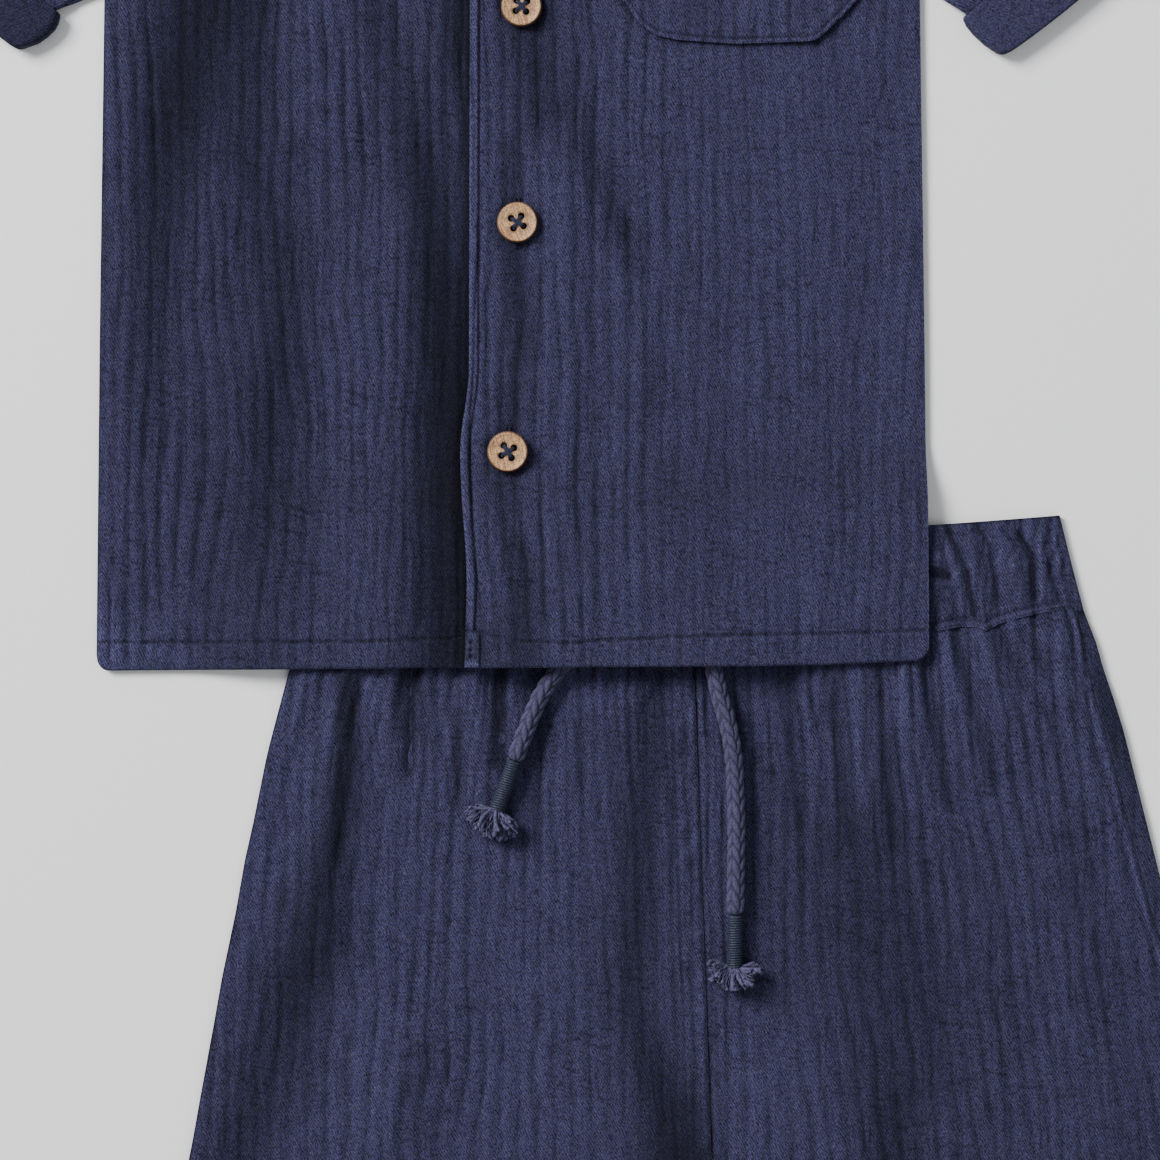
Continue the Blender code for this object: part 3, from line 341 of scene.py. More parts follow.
def borderDistance(x, y, sewn=()):
    # Distance of each grid point from the grid's free sides: first and last row, start and end column.
    nearest = np.full_like(x, 1000.0)
    for axis, names in ((0, ("first", "last")), (1, ("start", "end"))):
        steps = np.hypot(np.diff(x, axis=axis), np.diff(y, axis=axis))
        along = np.concatenate([np.zeros_like(np.take(steps, [0], axis)), np.cumsum(steps, axis)], axis)
        for side, distance in zip(names, (along, np.take(along, [-1], axis) - along)):
            if side not in sewn:
                nearest = np.minimum(nearest, distance)
    return nearest


def clothPanel(name, x, y, mid, relief, uv=None, near=None, flatUnder=False, shade=None):
    # A laid panel from its grid: mid is the middle of the solid's wall, relief what is raised on top.
    near = borderDistance(x, y) if near is None else near
    near = np.clip(near / cloth["edgeRound"], 0, 1)
    swell = 0.12 + 0.88 * np.sqrt(np.clip(1 - (1 - near) ** 2, 0, 1))
    top = mid + (cloth["wall"] / 2 - 0.15 + relief) * swell
    under = mid - cloth["wall"] / 2 * swell if flatUnder else top - cloth["thickness"] * (0.25 + 0.75 * swell)
    outer = np.stack([x, y, top], -1)
    inner = np.stack([x, y, under], -1)
    grain = np.stack([x, y], -1) if uv is None else uv
    return shellObject(name, outer, inner, grain, shade=shade)


# What lies under the shirt

def toShorts(x, y):
    dx, dy = x - shorts["x"], y - shorts["y"]
    turnCos, turnSin = math.cos(shorts["turn"]), math.sin(shorts["turn"])
    return dx * turnCos + dy * turnSin, dx * turnSin - dy * turnCos


def fromShorts(across, below):
    turnCos, turnSin = math.cos(shorts["turn"]), math.sin(shorts["turn"])
    return (shorts["x"] + across * turnCos + below * turnSin,
            shorts["y"] + across * turnSin - below * turnCos)


def legEdge(below, side):
    # How far out a leg's outer edge lies, each side a little its own way.
    return readTable(shorts["sides"], below) + readTable(legEase["left" if side < 0 else "right"], below)


def casingSeam(across):
    return shorts["seam"] + shorts["seamSag"] * (1 - np.clip(np.abs(across) / shorts["seamHalf"], 0, 1) ** 2)


def drifted(across, below):
    # A little further down or up near the casing seam, where its line wanders.
    nearSeam = np.exp(-((below - casingSeam(across)) / 11) ** 2)
    return below + readTable(seamDrift, across) * nearSeam


def waistEdge(across):
    return shorts["waistTop"] + shorts["waistSag"] * (1 - np.clip(np.abs(across) / shorts["waistHalf"], 0, 1) ** 2)


def calmCentre(across):
    return smoothStep((np.abs(across) - shorts["calm"]) / 16)


def routeDistance(x, y, route):
    return np.minimum.reduce([segmentDistance(x, y, a, b) for a, b in zip(route, route[1:])])


def routeToTip(route):
    end, before = np.array(route[-1]), np.array(route[-2])
    return [*route, tuple(end + (end - before) / np.linalg.norm(end - before) * cord["tip"])]


def unpressed(x, y):
    near = np.minimum.reduce([routeDistance(x, y, routeToTip(route)) for route in cordRoutes.values()])
    return smoothStep((near - cord["pressed"]) / cord["pressedRamp"])


def shirtLift(x, y):
    across, below = toShorts(x, y)
    half = readTable(shorts["sides"], below)
    ramp, topRamp, margin = lift["ramp"], lift["topRamp"], lift["margin"]
    overSide = smoothStep((half + margin + ramp - np.abs(across)) / ramp)
    overTop = smoothStep((below - shorts["waistTop"] + margin + topRamp) / topRamp)
    offBand = smoothStep((below - shorts["seam"] - 8) / 20)
    height = mix(lift["band"], lift["panel"], offBand) - lift["settle"] * smoothStep((30 - y) / 30)
    near = np.minimum.reduce([routeDistance(x, y, route) for route in cordRoutes.values()])
    ridge = smoothStep((cord["ridge"] + cord["ridgeRamp"] - near) / cord["ridgeRamp"])
    return overSide * overTop * (height + (cord["lift"] - height) * ridge)


def liftCounterShade(x, y):
    # Painted shade and painted light that even out the light on the climb over the waist and the cords, which hardly
    # shows on the real cloth.
    gx = (shirtLift(x + 1, y) - shirtLift(x - 1, y)) / 2
    gy = (shirtLift(x, y + 1) - shirtLift(x, y - 1)) / 2
    toLight = (0.645 * gx - 0.452 * gy) / 0.616
    return np.clip(1 / (1 + 0.85 * np.clip(toLight, -0.5, 1.2)), 0.6, 1.35)


# Shirt surfaces

def shirtHalfWidth(height):
    return readTable(shirt["sides"], height)


def neckline(x, centreHeight):
    part = np.clip(np.abs(x) / shirt["neckHalf"], 0, 1)
    return centreHeight + (shirt["neckTop"] - centreHeight) * part ** shirt["neckCurve"]


def shirtTop(x, centreHeight):
    part = np.clip((np.abs(x) - shirt["neckHalf"]) / (shirt["halfShoulder"] - shirt["neckHalf"]), 0, 1)
    return neckline(x, centreHeight) + (shirt["shoulder"] - shirt["neckTop"]) * part


def wanderAt(y):
    # The placket edge's sideways drift, as a smooth curve through its table.
    heights = [row[0] for row in shirt["placketWander"]]
    shifts = np.array([row[1] for row in shirt["placketWander"]])
    place = np.clip(np.searchsorted(heights, y, side="right") - 1, 0, len(heights) - 2)
    low, high = np.take(heights, place), np.take(heights, place + 1)
    return mix(shifts[place], shifts[place + 1], smoothStep((y - low) / (high - low)))


def shirtGrid(columns, rows, centreHeight):
    # x and y of a shirt panel. Rows past the armpit height are parts of the way to the top edge.
    column, row = np.meshgrid(columns, rows)
    part = column / shirt["halfHem"]
    hem = readTable(shirt["hem"], part) * smoothStep((60 - row) / 60)
    top = shirtTop(shirt["halfShoulder"] * part, centreHeight)
    armpit = shirt["armpit"]
    y = np.where(row <= armpit, row + hem, armpit + (top - armpit) * np.clip(row - armpit, 0, 1))
    nearPlacket = np.clip(1 - np.abs(column - shirt["placket"]) / 24, 0, 1)
    x = shirtHalfWidth(y) * part + wanderAt(y) * nearPlacket
    corner = np.clip((np.abs(part) - 0.968) / 0.032, 0, 1) * np.clip((6 - row) / 6, 0, 1)
    x -= np.sign(part) * 1.6 * corner ** 2
    y = y + 1.6 * corner ** 2
    return x, y


def shirtRows(step, fineSpots=()):
    lower = spacedValues(0, shirt["armpit"], step, fineSpots)
    upper = shirt["armpit"] + np.linspace(0, 1, int(120 / step) + 1)[1:]
    return np.concatenate([lower, upper])


def frontPuff(x, y):
    inside = smoothStep((shirtHalfWidth(y) - np.abs(x)) / shirt["edgeEase"])
    return foldsHeight(shirtFolds, x, y) * inside


def lapRise(x):
    return layer * smoothStep((shirt["underEdge"] + 4 + shirt["lapEase"] - x) / shirt["lapEase"])


def frontMid(x, y, over):
    rise = lapRise(x) if over else 0
    return shirtLift(x, y) + frontMidHeight + frontPuff(x, y) + rise


def groove(away, half):
    return np.exp(-(away / half) ** 2)


def hemRelief(away, depth, x, seed):
    # A turned hem: two more plies below its stitch line, with puckers across the line.
    pucker = softNoise(x / 2.1, away / 5, seed)
    ply = 0.42 * smoothStep((depth - away) / 0.9 + 0.5)
    line = -0.55 * groove(away - depth, 0.65)
    return ply + line + 0.34 * pucker * groove(away - depth, 4.4)


def hemShade(away, depth, x, seed):
    # Painted shade in the hem's stitch line, stronger and weaker along it.
    return 1 - (0.46 + 0.36 * softNoise(x / 1.7, x * 0, seed + 3)) * groove(away - depth, 0.6)


print("stage 1: frame loaded, shapes defined")


# Node helpers

def addNode(tree, kind, inputs=None, **settings):
    node = tree.nodes.new(kind)
    for key, value in settings.items():
        setattr(node, key, value)
    for key, value in (inputs or {}).items():
        if isinstance(value, bpy.types.NodeSocket):
            tree.links.new(value, node.inputs[key])
        else:
            node.inputs[key].default_value = value
    return node


def maths(tree, operation, a, b=0.0, c=0.0):
    return addNode(tree, "ShaderNodeMath", {0: a, 1: b, 2: c}, operation=operation).outputs[0]


def newGroup(name, kind, inputs, outputs):
    tree = bpy.data.node_groups.new(name, kind)
    for label, socketType, default in inputs:
        socket = tree.interface.new_socket(name=label, in_out="INPUT", socket_type=socketType)
        if default is not None:
            socket.default_value = default
    for label, socketType in outputs:
        tree.interface.new_socket(name=label, in_out="OUTPUT", socket_type=socketType)
    return tree, tree.nodes.new("NodeGroupInput"), tree.nodes.new("NodeGroupOutput")


def gauzeGroup():
    # Crinkle lines and short cross dashes darkened with painted shade, fine diagonal weave and yarn mottle, on grain
    # coordinates in metres.
    tree, given, out = newGroup("crinkledGauze", "ShaderNodeTree", [
        ("Vector", "NodeSocketVector", None),
        ("Base", "NodeSocketColor", (0.036, 0.041, 0.085, 1)),
        ("Line Pitch", "NodeSocketFloat", 3.6),
        ("Line Depth", "NodeSocketFloat", 1.0),
        ("Weave Pitch", "NodeSocketFloat", 0.88),
        ("Diagonal", "NodeSocketFloat", 0.34),
    ], [("Color", "NodeSocketColor"), ("Height", "NodeSocketFloat")])
    inMm = addNode(tree, "ShaderNodeVectorMath", {0: given.outputs["Vector"], 1: (1000, 1000, 1000)}, operation="MULTIPLY")
    split = addNode(tree, "ShaderNodeSeparateXYZ", {0: inMm.outputs[0]})
    u, v = split.outputs[0], split.outputs[1]

    def noise(scaleU, scaleV, detail=2.0, shift=0.0):
        place = addNode(tree, "ShaderNodeCombineXYZ", {
            0: maths(tree, "DIVIDE", u, scaleU), 1: maths(tree, "DIVIDE", v, scaleV), 2: shift})
        return addNode(tree, "ShaderNodeTexNoise", {"Vector": place.outputs[0], "Scale": 1.0, "Detail": detail}).outputs[0]

    def ramp(value, low, high):
        return addNode(tree, "ShaderNodeMapRange", {0: value, 1: low, 2: high, 3: 0.0, 4: 1.0},
                       interpolation_type="SMOOTHSTEP").outputs[0]

    def centred(value, gain):
        return maths(tree, "MULTIPLY", maths(tree, "SUBTRACT", value, 0.5), gain)

    drift = maths(tree, "ADD", centred(noise(36, 80, 1, 3.1), 3.0), centred(noise(6, 20, 1, 7.7), 1.7))
    phase = maths(tree, "ADD", maths(tree, "DIVIDE", u, given.outputs["Line Pitch"]), drift)
    away = maths(tree, "ABSOLUTE", maths(tree, "SUBTRACT", maths(tree, "FRACT", phase), 0.5))
    line = ramp(away, 0.12, 0.5)
    lines = maths(tree, "MULTIPLY", line, ramp(noise(6, 20, 2, 1.3), 0.34, 0.66))
    cell = maths(tree, "FLOOR", phase)
    rowPhase = maths(tree, "ADD", maths(tree, "DIVIDE", v, 3.3), maths(tree, "MULTIPLY", cell, 0.21))
    rowPhase = maths(tree, "ADD", rowPhase, centred(noise(9, 9, 1, 5.5), 2.4))
    rowAway = maths(tree, "ABSOLUTE", maths(tree, "SUBTRACT", maths(tree, "FRACT", rowPhase), 0.5))
    dashes = maths(tree, "MULTIPLY", ramp(rowAway, 0.2, 0.5), ramp(noise(5, 6, 2, 9.2), 0.44, 0.68))
    dashes = maths(tree, "MULTIPLY", dashes, ramp(noise(30, 34, 1, 15.2), 0.38, 0.62))
    diagonal = maths(tree, "DIVIDE", maths(tree, "ADD", maths(tree, "MULTIPLY", u, 0.88), maths(tree, "MULTIPLY", v, 0.47)),
                     given.outputs["Weave Pitch"])
    diagonal = maths(tree, "ADD", diagonal, centred(noise(3, 3, 1, 2.2), 1.6))
    twill = maths(tree, "SINE", maths(tree, "MULTIPLY", diagonal, 2 * math.pi))
    yarn = noise(0.44, 0.60, 2, 4.4)
    fleck = noise(1.3, 1.7, 1, 6.6)
    patches = noise(30, 60, 2, 8.8)
    specks = ramp(noise(0.8, 0.8, 0, 12.4), 0.84, 0.93)

    shade = maths(tree, "ADD", 1.0, maths(tree, "MULTIPLY", twill, given.outputs["Diagonal"]))
    shade = maths(tree, "ADD", shade, centred(yarn, 3.2))
    shade = maths(tree, "ADD", shade, centred(fleck, 0.35))
    shade = maths(tree, "ADD", shade, centred(patches, 0.12))
    # painted shade: the crinkle lines and cross dashes are darkened
    dark = maths(tree, "ADD", maths(tree, "MULTIPLY", lines, 0.16), maths(tree, "MULTIPLY", dashes, 0.38))
    dark = maths(tree, "MULTIPLY", dark, given.outputs["Line Depth"])
    shade = maths(tree, "MULTIPLY", maths(tree, "MAXIMUM", shade, 0.22), maths(tree, "SUBTRACT", 1.0, dark))
    tinted = addNode(tree, "ShaderNodeVectorMath", {0: given.outputs["Base"], 3: shade}, operation="SCALE")
    greyed = addNode(tree, "ShaderNodeVectorMath", {0: (0.042, 0.040, 0.056), 3: shade}, operation="SCALE")
    greyYarn = maths(tree, "MULTIPLY", ramp(noise(0.8, 1.0, 2, 21.3), 0.42, 0.66), 0.36)
    tinted = addNode(tree, "ShaderNodeMix", {0: greyYarn, 6: tinted.outputs[0], 7: greyed.outputs[0]}, data_type="RGBA")
    lint = addNode(tree, "ShaderNodeMix", {0: maths(tree, "MULTIPLY", specks, 0.35), 6: tinted.outputs[2],
                                           7: (0.16, 0.17, 0.25, 1)}, data_type="RGBA")
    height = maths(tree, "MULTIPLY", maths(tree, "ADD", lines, maths(tree, "MULTIPLY", dashes, 0.9)), -0.16)
    height = maths(tree, "MULTIPLY", height, given.outputs["Line Depth"])
    height = maths(tree, "ADD", height, maths(tree, "MULTIPLY", twill, 0.03))
    height = maths(tree, "ADD", height, maths(tree, "MULTIPLY", yarn, 0.06))
    tree.links.new(lint.outputs[2], out.inputs["Color"])
    tree.links.new(height, out.inputs["Height"])
    return tree


def newMaterial(name, roughness, **sockets):
    made = bpy.data.materials.new(name)
    made.use_nodes = True
    shader = made.node_tree.nodes["Principled BSDF"]
    shader.inputs["Roughness"].default_value = roughness
    for key, value in sockets.items():
        shader.inputs[key.replace("_", " ")].default_value = value
    return made, made.node_tree, shader


def bumpInto(tree, shader, height, distance, strength=1.0):
    bump = addNode(tree, "ShaderNodeBump", {"Height": height, "Strength": strength, "Distance": distance})
    tree.links.new(bump.outputs[0], shader.inputs["Normal"])


def shadedColour(tree, colour):
    # Darkens a colour with the painted shade in the seams and creases, and lightens it with painted light, as stored on
    # the mesh.
    paintedShadeFactor = addNode(tree, "ShaderNodeAttribute", attribute_name="shade")
    return addNode(tree, "ShaderNodeVectorMath", {0: colour, 3: paintedShadeFactor.outputs["Fac"]}, operation="SCALE").outputs[0]


def gauzeMaterial(name, group, base, depth, diagonal):
    made, tree, shader = newMaterial(name, 0.95, Sheen_Weight=0.04, Sheen_Roughness=0.5, Specular_IOR_Level=0.1)
    place = addNode(tree, "ShaderNodeUVMap", uv_map="grain")
    look = addNode(tree, "ShaderNodeGroup", node_tree=group)
    look.inputs["Base"].default_value = base
    look.inputs["Line Depth"].default_value = depth
    look.inputs["Diagonal"].default_value = diagonal
    tree.links.new(place.outputs[0], look.inputs["Vector"])
    tree.links.new(shadedColour(tree, look.outputs["Color"]), shader.inputs["Base Color"])
    bumpInto(tree, shader, look.outputs["Height"], 0.0010)
    return made


def yarnMaterial(name, base, roughness, scale=2600.0, takesPaintedShade=False, gain=1.1, gloss=0.15):
    # Cotton yarn: short streaks and fuzz on object coordinates.
    made, tree, shader = newMaterial(name, roughness, Sheen_Weight=0.06, Sheen_Roughness=0.5, Specular_IOR_Level=gloss)
    place = addNode(tree, "ShaderNodeTexCoord")
    fuzz = addNode(tree, "ShaderNodeTexNoise", {"Vector": place.outputs["Object"], "Scale": scale, "Detail": 3.0})
    soft = addNode(tree, "ShaderNodeTexNoise", {"Vector": place.outputs["Object"], "Scale": scale / 6, "Detail": 2.0})
    both = maths(tree, "ADD", maths(tree, "MULTIPLY", fuzz.outputs[0], gain), maths(tree, "MULTIPLY", soft.outputs[0], 0.6))
    shade = maths(tree, "MAXIMUM", maths(tree, "ADD", both, 0.7 - gain / 2), 0.15)
    tinted = addNode(tree, "ShaderNodeVectorMath", {0: base[:3], 3: shade}, operation="SCALE")
    # painted shade and painted light from the mesh, where the material takes them
    colour = shadedColour(tree, tinted.outputs[0]) if takesPaintedShade else tinted.outputs[0]
    tree.links.new(colour, shader.inputs["Base Color"])
    bumpInto(tree, shader, fuzz.outputs[0], 0.0003)
    return made


def woodMaterial():
    # Coconut shell or light wood: straight grain, short brown streaks and a darker rim, partly the shell's own dark
    # edge and partly painted shade.
    made, tree, shader = newMaterial("coconutWood", 0.5, Specular_IOR_Level=0.4)
    place = addNode(tree, "ShaderNodeUVMap", uv_map="grain")
    stretch = addNode(tree, "ShaderNodeMapping", {"Vector": place.outputs[0], "Scale": (1500, 210, 1)})
    streaks = addNode(tree, "ShaderNodeTexNoise", {"Vector": stretch.outputs[0], "Scale": 1.0, "Detail": 4.0})
    broad = addNode(tree, "ShaderNodeMapping", {"Vector": place.outputs[0], "Scale": (420, 120, 1)})
    patches = addNode(tree, "ShaderNodeTexNoise", {"Vector": broad.outputs[0], "Scale": 1.0, "Detail": 3.0})
    ramp = addNode(tree, "ShaderNodeValToRGB", {0: streaks.outputs[0]})
    ramp.color_ramp.elements[0].position = 0.40
    ramp.color_ramp.elements[0].color = (0.17, 0.075, 0.032, 1)
    ramp.color_ramp.elements[1].position = 0.56
    ramp.color_ramp.elements[1].color = (0.56, 0.33, 0.17, 1)
    paleness = maths(tree, "MULTIPLY", patches.outputs[0], 0.6)
    pale = addNode(tree, "ShaderNodeMix", {0: paleness, 6: ramp.outputs[0], 7: (0.60, 0.37, 0.20, 1)},
                   data_type="RGBA")
    dots = addNode(tree, "ShaderNodeTexNoise", {"Vector": place.outputs[0], "Scale": 1900.0, "Detail": 3.0})
    dotted = addNode(tree, "ShaderNodeMapRange", {0: dots.outputs[0], 1: 0.48, 2: 0.63, 3: 0.0, 4: 0.85})
    pale = addNode(tree, "ShaderNodeMix", {0: dotted.outputs[0], 6: pale.outputs[2], 7: (0.16, 0.072, 0.030, 1)},
                   data_type="RGBA")
    # the rim mix: the shell's own darker edge, with painted shade strongest at the lower right and round the holes
    rim = addNode(tree, "ShaderNodeAttribute", attribute_name="rim")
    rimAndPaintedShade = addNode(tree, "ShaderNodeMix", {0: rim.outputs["Fac"], 6: pale.outputs[2], 7: (0.055, 0.022, 0.010, 1)},
                    data_type="RGBA")
    tree.links.new(rimAndPaintedShade.outputs[2], shader.inputs["Base Color"])
    bumpInto(tree, shader, streaks.outputs[0], 0.00012)
    return made


gauze = gauzeGroup()
materials = {
    "gauze": gauzeMaterial("navyGauze", gauze, (0.0256, 0.0249, 0.0604, 1), 1.0, 0.34),
    "cuff_gauze": gauzeMaterial("cuffGauze", gauze, (0.0266, 0.0260, 0.0615, 1), 0.5, 0.10),
    "cord": yarnMaterial("braidedCotton", (0.054, 0.051, 0.102, 1), 0.9, takesPaintedShade=True, gain=2.6),
    "fray": yarnMaterial("frayedCotton", (0.066, 0.063, 0.125, 1), 0.9, scale=1200.0, gain=3.0),
    "whipping": yarnMaterial("woundThread", (0.0085, 0.0135, 0.034, 1), 0.5, scale=1700.0, gain=3.6, gloss=0.4),
    "thread": yarnMaterial("sewingThread", (0.010, 0.011, 0.026, 1), 0.7),
    "button_thread": yarnMaterial("buttonThread", (0.019, 0.021, 0.046, 1), 0.8, gain=2.0),
    "coconut_wood": woodMaterial(),
}
print("stage 2: materials")


def dress(obj, slot, nodes=(), look=None):
    # Gives a finished piece its material and its body, and hides the parts it stands in for.
    if not obj.data.materials:
        obj.data.materials.append(materials[look or slot])
    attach(obj, "root")
    if nodes:
        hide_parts(*nodes)
    return obj


# Camera and light

photo = dict(size=1160, mmPerPixel=0.366, centreLineU=512, hemV=668, lens=100.0, sensor=36.0, focusHeight=4.0)


def makeCamera():
    middle = photo["size"] / 2
    x = (middle - photo["centreLineU"]) * photo["mmPerPixel"] + originX
    y = (photo["hemV"] - middle) * photo["mmPerPixel"] + originY
    distance = photo["size"] * photo["mmPerPixel"] * photo["lens"] / photo["sensor"]
    data = bpy.data.cameras.new("camera")
    data.lens = photo["lens"]
    data.sensor_width = photo["sensor"]
    made = bpy.data.objects.new("camera", data)
    made.location = Vector((x, y, distance + photo["focusHeight"])) * mm
    bpy.context.scene.collection.objects.link(made)
    bpy.context.scene.camera = made


def areaLight(name, place, aim, size, energy):
    data = bpy.data.lights.new(name, "AREA")
    data.size = size
    data.energy = energy
    made = bpy.data.objects.new(name, data)
    made.location = Vector(place)
    made.rotation_euler = (Vector(aim) - Vector(place)).to_track_quat("-Z", "Y").to_euler()
    bpy.context.scene.collection.objects.link(made)


def makeStudio():
    mesh = bpy.data.meshes.new("floor")
    half, level = 3.0, -0.0004
    mesh.from_pydata([(-half, -half, level), (half, -half, level), (half, half, level), (-half, half, level)], [],
                     [(0, 1, 2, 3)])
    floor = bpy.data.objects.new("floor", mesh)
    bpy.context.scene.collection.objects.link(floor)
    made, tree, shader = newMaterial("paleFloor", 0.9)
    place = addNode(tree, "ShaderNodeTexCoord")
    grain = addNode(tree, "ShaderNodeTexNoise", {"Vector": place.outputs["Object"], "Scale": 900.0})
    tone = addNode(tree, "ShaderNodeMix", {0: grain.outputs[0], 6: (0.86, 0.86, 0.86, 1), 7: (0.90, 0.90, 0.90, 1)},
                   data_type="RGBA")
    tree.links.new(tone.outputs[2], shader.inputs["Base Color"])
    mesh.materials.append(made)
    areaLight("keyLight", (-2.13, 1.49, 2.03), (0, -0.05, 0), 1.35, 205)
    areaLight("fillLight", (0.9, -0.5, 1.5), (0, -0.05, 0), 1.6, 5)
    world = bpy.data.worlds.new("studio")
    world.use_nodes = True
    world.node_tree.nodes["Background"].inputs["Color"].default_value = (0.93, 0.95, 1.0, 1)
    world.node_tree.nodes["Background"].inputs["Strength"].default_value = 0.44
    bpy.context.scene.world = world


makeCamera()
makeStudio()
print("stage 3: camera and studio")


# Drawstring

braid = dict(columns=6, pitch=5.3, lean=0.40, relief=0.85, stepAlong=0.30, around=60)
whipping = dict(diameter=5.7, length=19.0, turnPitch=0.9, thread=0.9)
tuft = dict(yarns=230, fibres=330, lengths={"left": 11.2, "right": 9.2}, spread={"left": 0.64, "right": 0.95})


def smoothRoute(route, step):
    points = [Vector(point) for point in route]
    ends = [2 * points[0] - points[1], *points, 2 * points[-1] - points[-2]]
    fine = []
    for a, b, c, d in zip(ends, ends[1:], ends[2:], ends[3:]):
        for i in range(12):
            t = i / 12
            square = (2 * a - 5 * b + 4 * c - d) * t ** 2
            cube = (3 * b - a - 3 * c + d) * t ** 3
            fine.append(0.5 * (2 * b + (c - a) * t + square + cube))
    fine.append(points[-1])
    fine = np.array([list(point) for point in fine])
    along = np.concatenate([[0], np.cumsum(np.linalg.norm(np.diff(fine, axis=0), axis=1))])
    count = max(2, int(round(along[-1] / step)))
    places = np.linspace(0, along[-1], count + 1)
    return np.stack([np.interp(places, along, fine[:, k]) for k in range(3)], -1), places


def tubeFrame(line):
    # Tangent, sideways and upward directions along a nearly level line.
    tangent = np.gradient(line, axis=0)
    tangent /= np.linalg.norm(tangent, axis=1)[:, None]
    side = np.cross(tangent, [0.0, 0.0, 1.0])
    side /= np.linalg.norm(side, axis=1)[:, None]
    return tangent, side, np.cross(side, tangent)


def braidRelief(turn, along):
    # Height of the plaits at a turn (0 to 1 round the cord) and a distance along it.
    column = turn * braid["columns"]
    index = np.floor(column)
    inside = column - index
    lean = np.where(index % 2 == 0, 1.0, -1.0)
    phase = along / braid["pitch"] + 0.22 * softNoise(along / 7, index * 1.7, 171) + lean * braid["lean"] * (inside - 0.5) * 2 + 0.5 * (index // 2 % 2)
    saw = phase - np.floor(phase)
    plait = np.clip(1 - np.abs(2 * saw - 1) ** 2.4, 0, 1) ** 0.8
    crown = np.clip(1 - np.abs(2 * inside - 1) ** 2.6, 0, 1) ** 0.7
    strands = 0.12 * np.abs(np.sin(math.pi * 3 * (inside + 0.3 * saw)))
    return plait * (0.35 + 0.65 * crown) * (1 - strands)


def makeCord(side):
    line, places = smoothRoute(cordRoutes[side], braid["stepAlong"])
    tangent, sideways, upward = tubeFrame(line)
    turn = np.arange(braid["around"]) / braid["around"]
    turnGrid, placeGrid = np.meshgrid(turn, places)
    radius = cord["diameter"] / 2
    plaits = braidRelief(turnGrid, placeGrid)
    height = radius - braid["relief"] + braid["relief"] * 1.15 * plaits
    ends = np.minimum(placeGrid, places[-1] - placeGrid)
    height *= 0.35 + 0.65 * np.sqrt(np.clip(ends / 1.6, 0, 1))
    angle = 2 * math.pi * turnGrid
    ring = sideways[:, None] * np.cos(angle)[..., None] + upward[:, None] * np.sin(angle)[..., None]
    points = line[:, None] + ring * height[..., None]
    rows, columns = points.shape[:2]
    capped = np.concatenate([points.reshape(-1, 3), line[:1], line[-1:]])
    quads = gridQuads(rows, columns, 0, True, False)
    # painted shade in the valleys between the plaits
    dark = np.concatenate([(0.46 + 0.54 * smoothStep(plaits * 1.3)).ravel(), [1, 1]])
    made = meshFromArrays("braidedCord_" + side, capped, quads, shade=dark)
    closeEnds(made, rows, columns)
    turnOutward(made)
    return made, line


def closeEnds(obj, rows, columns):
    # Closes a tube whose last two points are the middles of its ends.
    import bmesh
    bm = bmesh.new()
    bm.from_mesh(obj.data)
    bm.verts.ensure_lookup_table()
    for first, middle in ((0, rows * columns), ((rows - 1) * columns, rows * columns + 1)):
        for j in range(columns):
            bm.faces.new((bm.verts[first + j], bm.verts[first + (j + 1) % columns], bm.verts[middle]))
    bm.to_mesh(obj.data)
    bm.free()


def turnOutward(obj):
    import bmesh
    bm = bmesh.new()
    bm.from_mesh(obj.data)
    bmesh.ops.recalc_face_normals(bm, faces=bm.faces)
    bm.to_mesh(obj.data)
    bm.free()
    obj.data.shade_smooth()


# Geometry Nodes

def meshFromNodes(name, host, tree, settings, look):
    # Runs a node tree on a host object and keeps the result as a plain mesh.
    modifier = host.modifiers.new("make", "NODES")
    modifier.node_group = tree
    sockets = {item.name: item.identifier for item in tree.interface.items_tree if item.in_out == "INPUT"}
    for label, value in settings.items():
        modifier[sockets[label]] = value
    modifier[sockets["Material"]] = materials[look]
    graph = bpy.context.evaluated_depsgraph_get()
    graph.update()
    mesh = bpy.data.meshes.new_from_object(host.evaluated_get(graph))
    made = bpy.data.objects.new(name, mesh)
    bpy.context.scene.collection.objects.link(made)
    bpy.data.objects.remove(host)
    made.data.name = name
    made.data.shade_smooth()
    return made


def lineHost(name, lines):
    # A mesh of open edge lines, placed in the frame, for a node tree to follow.
    points, edges = [], []
    for line in lines:
        start = len(points)
        points += [((p[0] + originX) * mm, (p[1] + originY) * mm, p[2] * mm) for p in line]
        edges += [(start + i, start + i + 1) for i in range(len(line) - 1)]
    mesh = bpy.data.meshes.new(name)
    mesh.from_pydata(points, edges, [])
    host = bpy.data.objects.new(name, mesh)
    bpy.context.scene.collection.objects.link(host)
    return host


def finishTree(tree, given, out, geometry):
    realized = addNode(tree, "GeometryNodeRealizeInstances", {0: geometry})
    painted = addNode(tree, "GeometryNodeSetMaterial", {0: realized.outputs[0], "Material": given.outputs["Material"]})
    tree.links.new(painted.outputs[0], out.inputs[0])


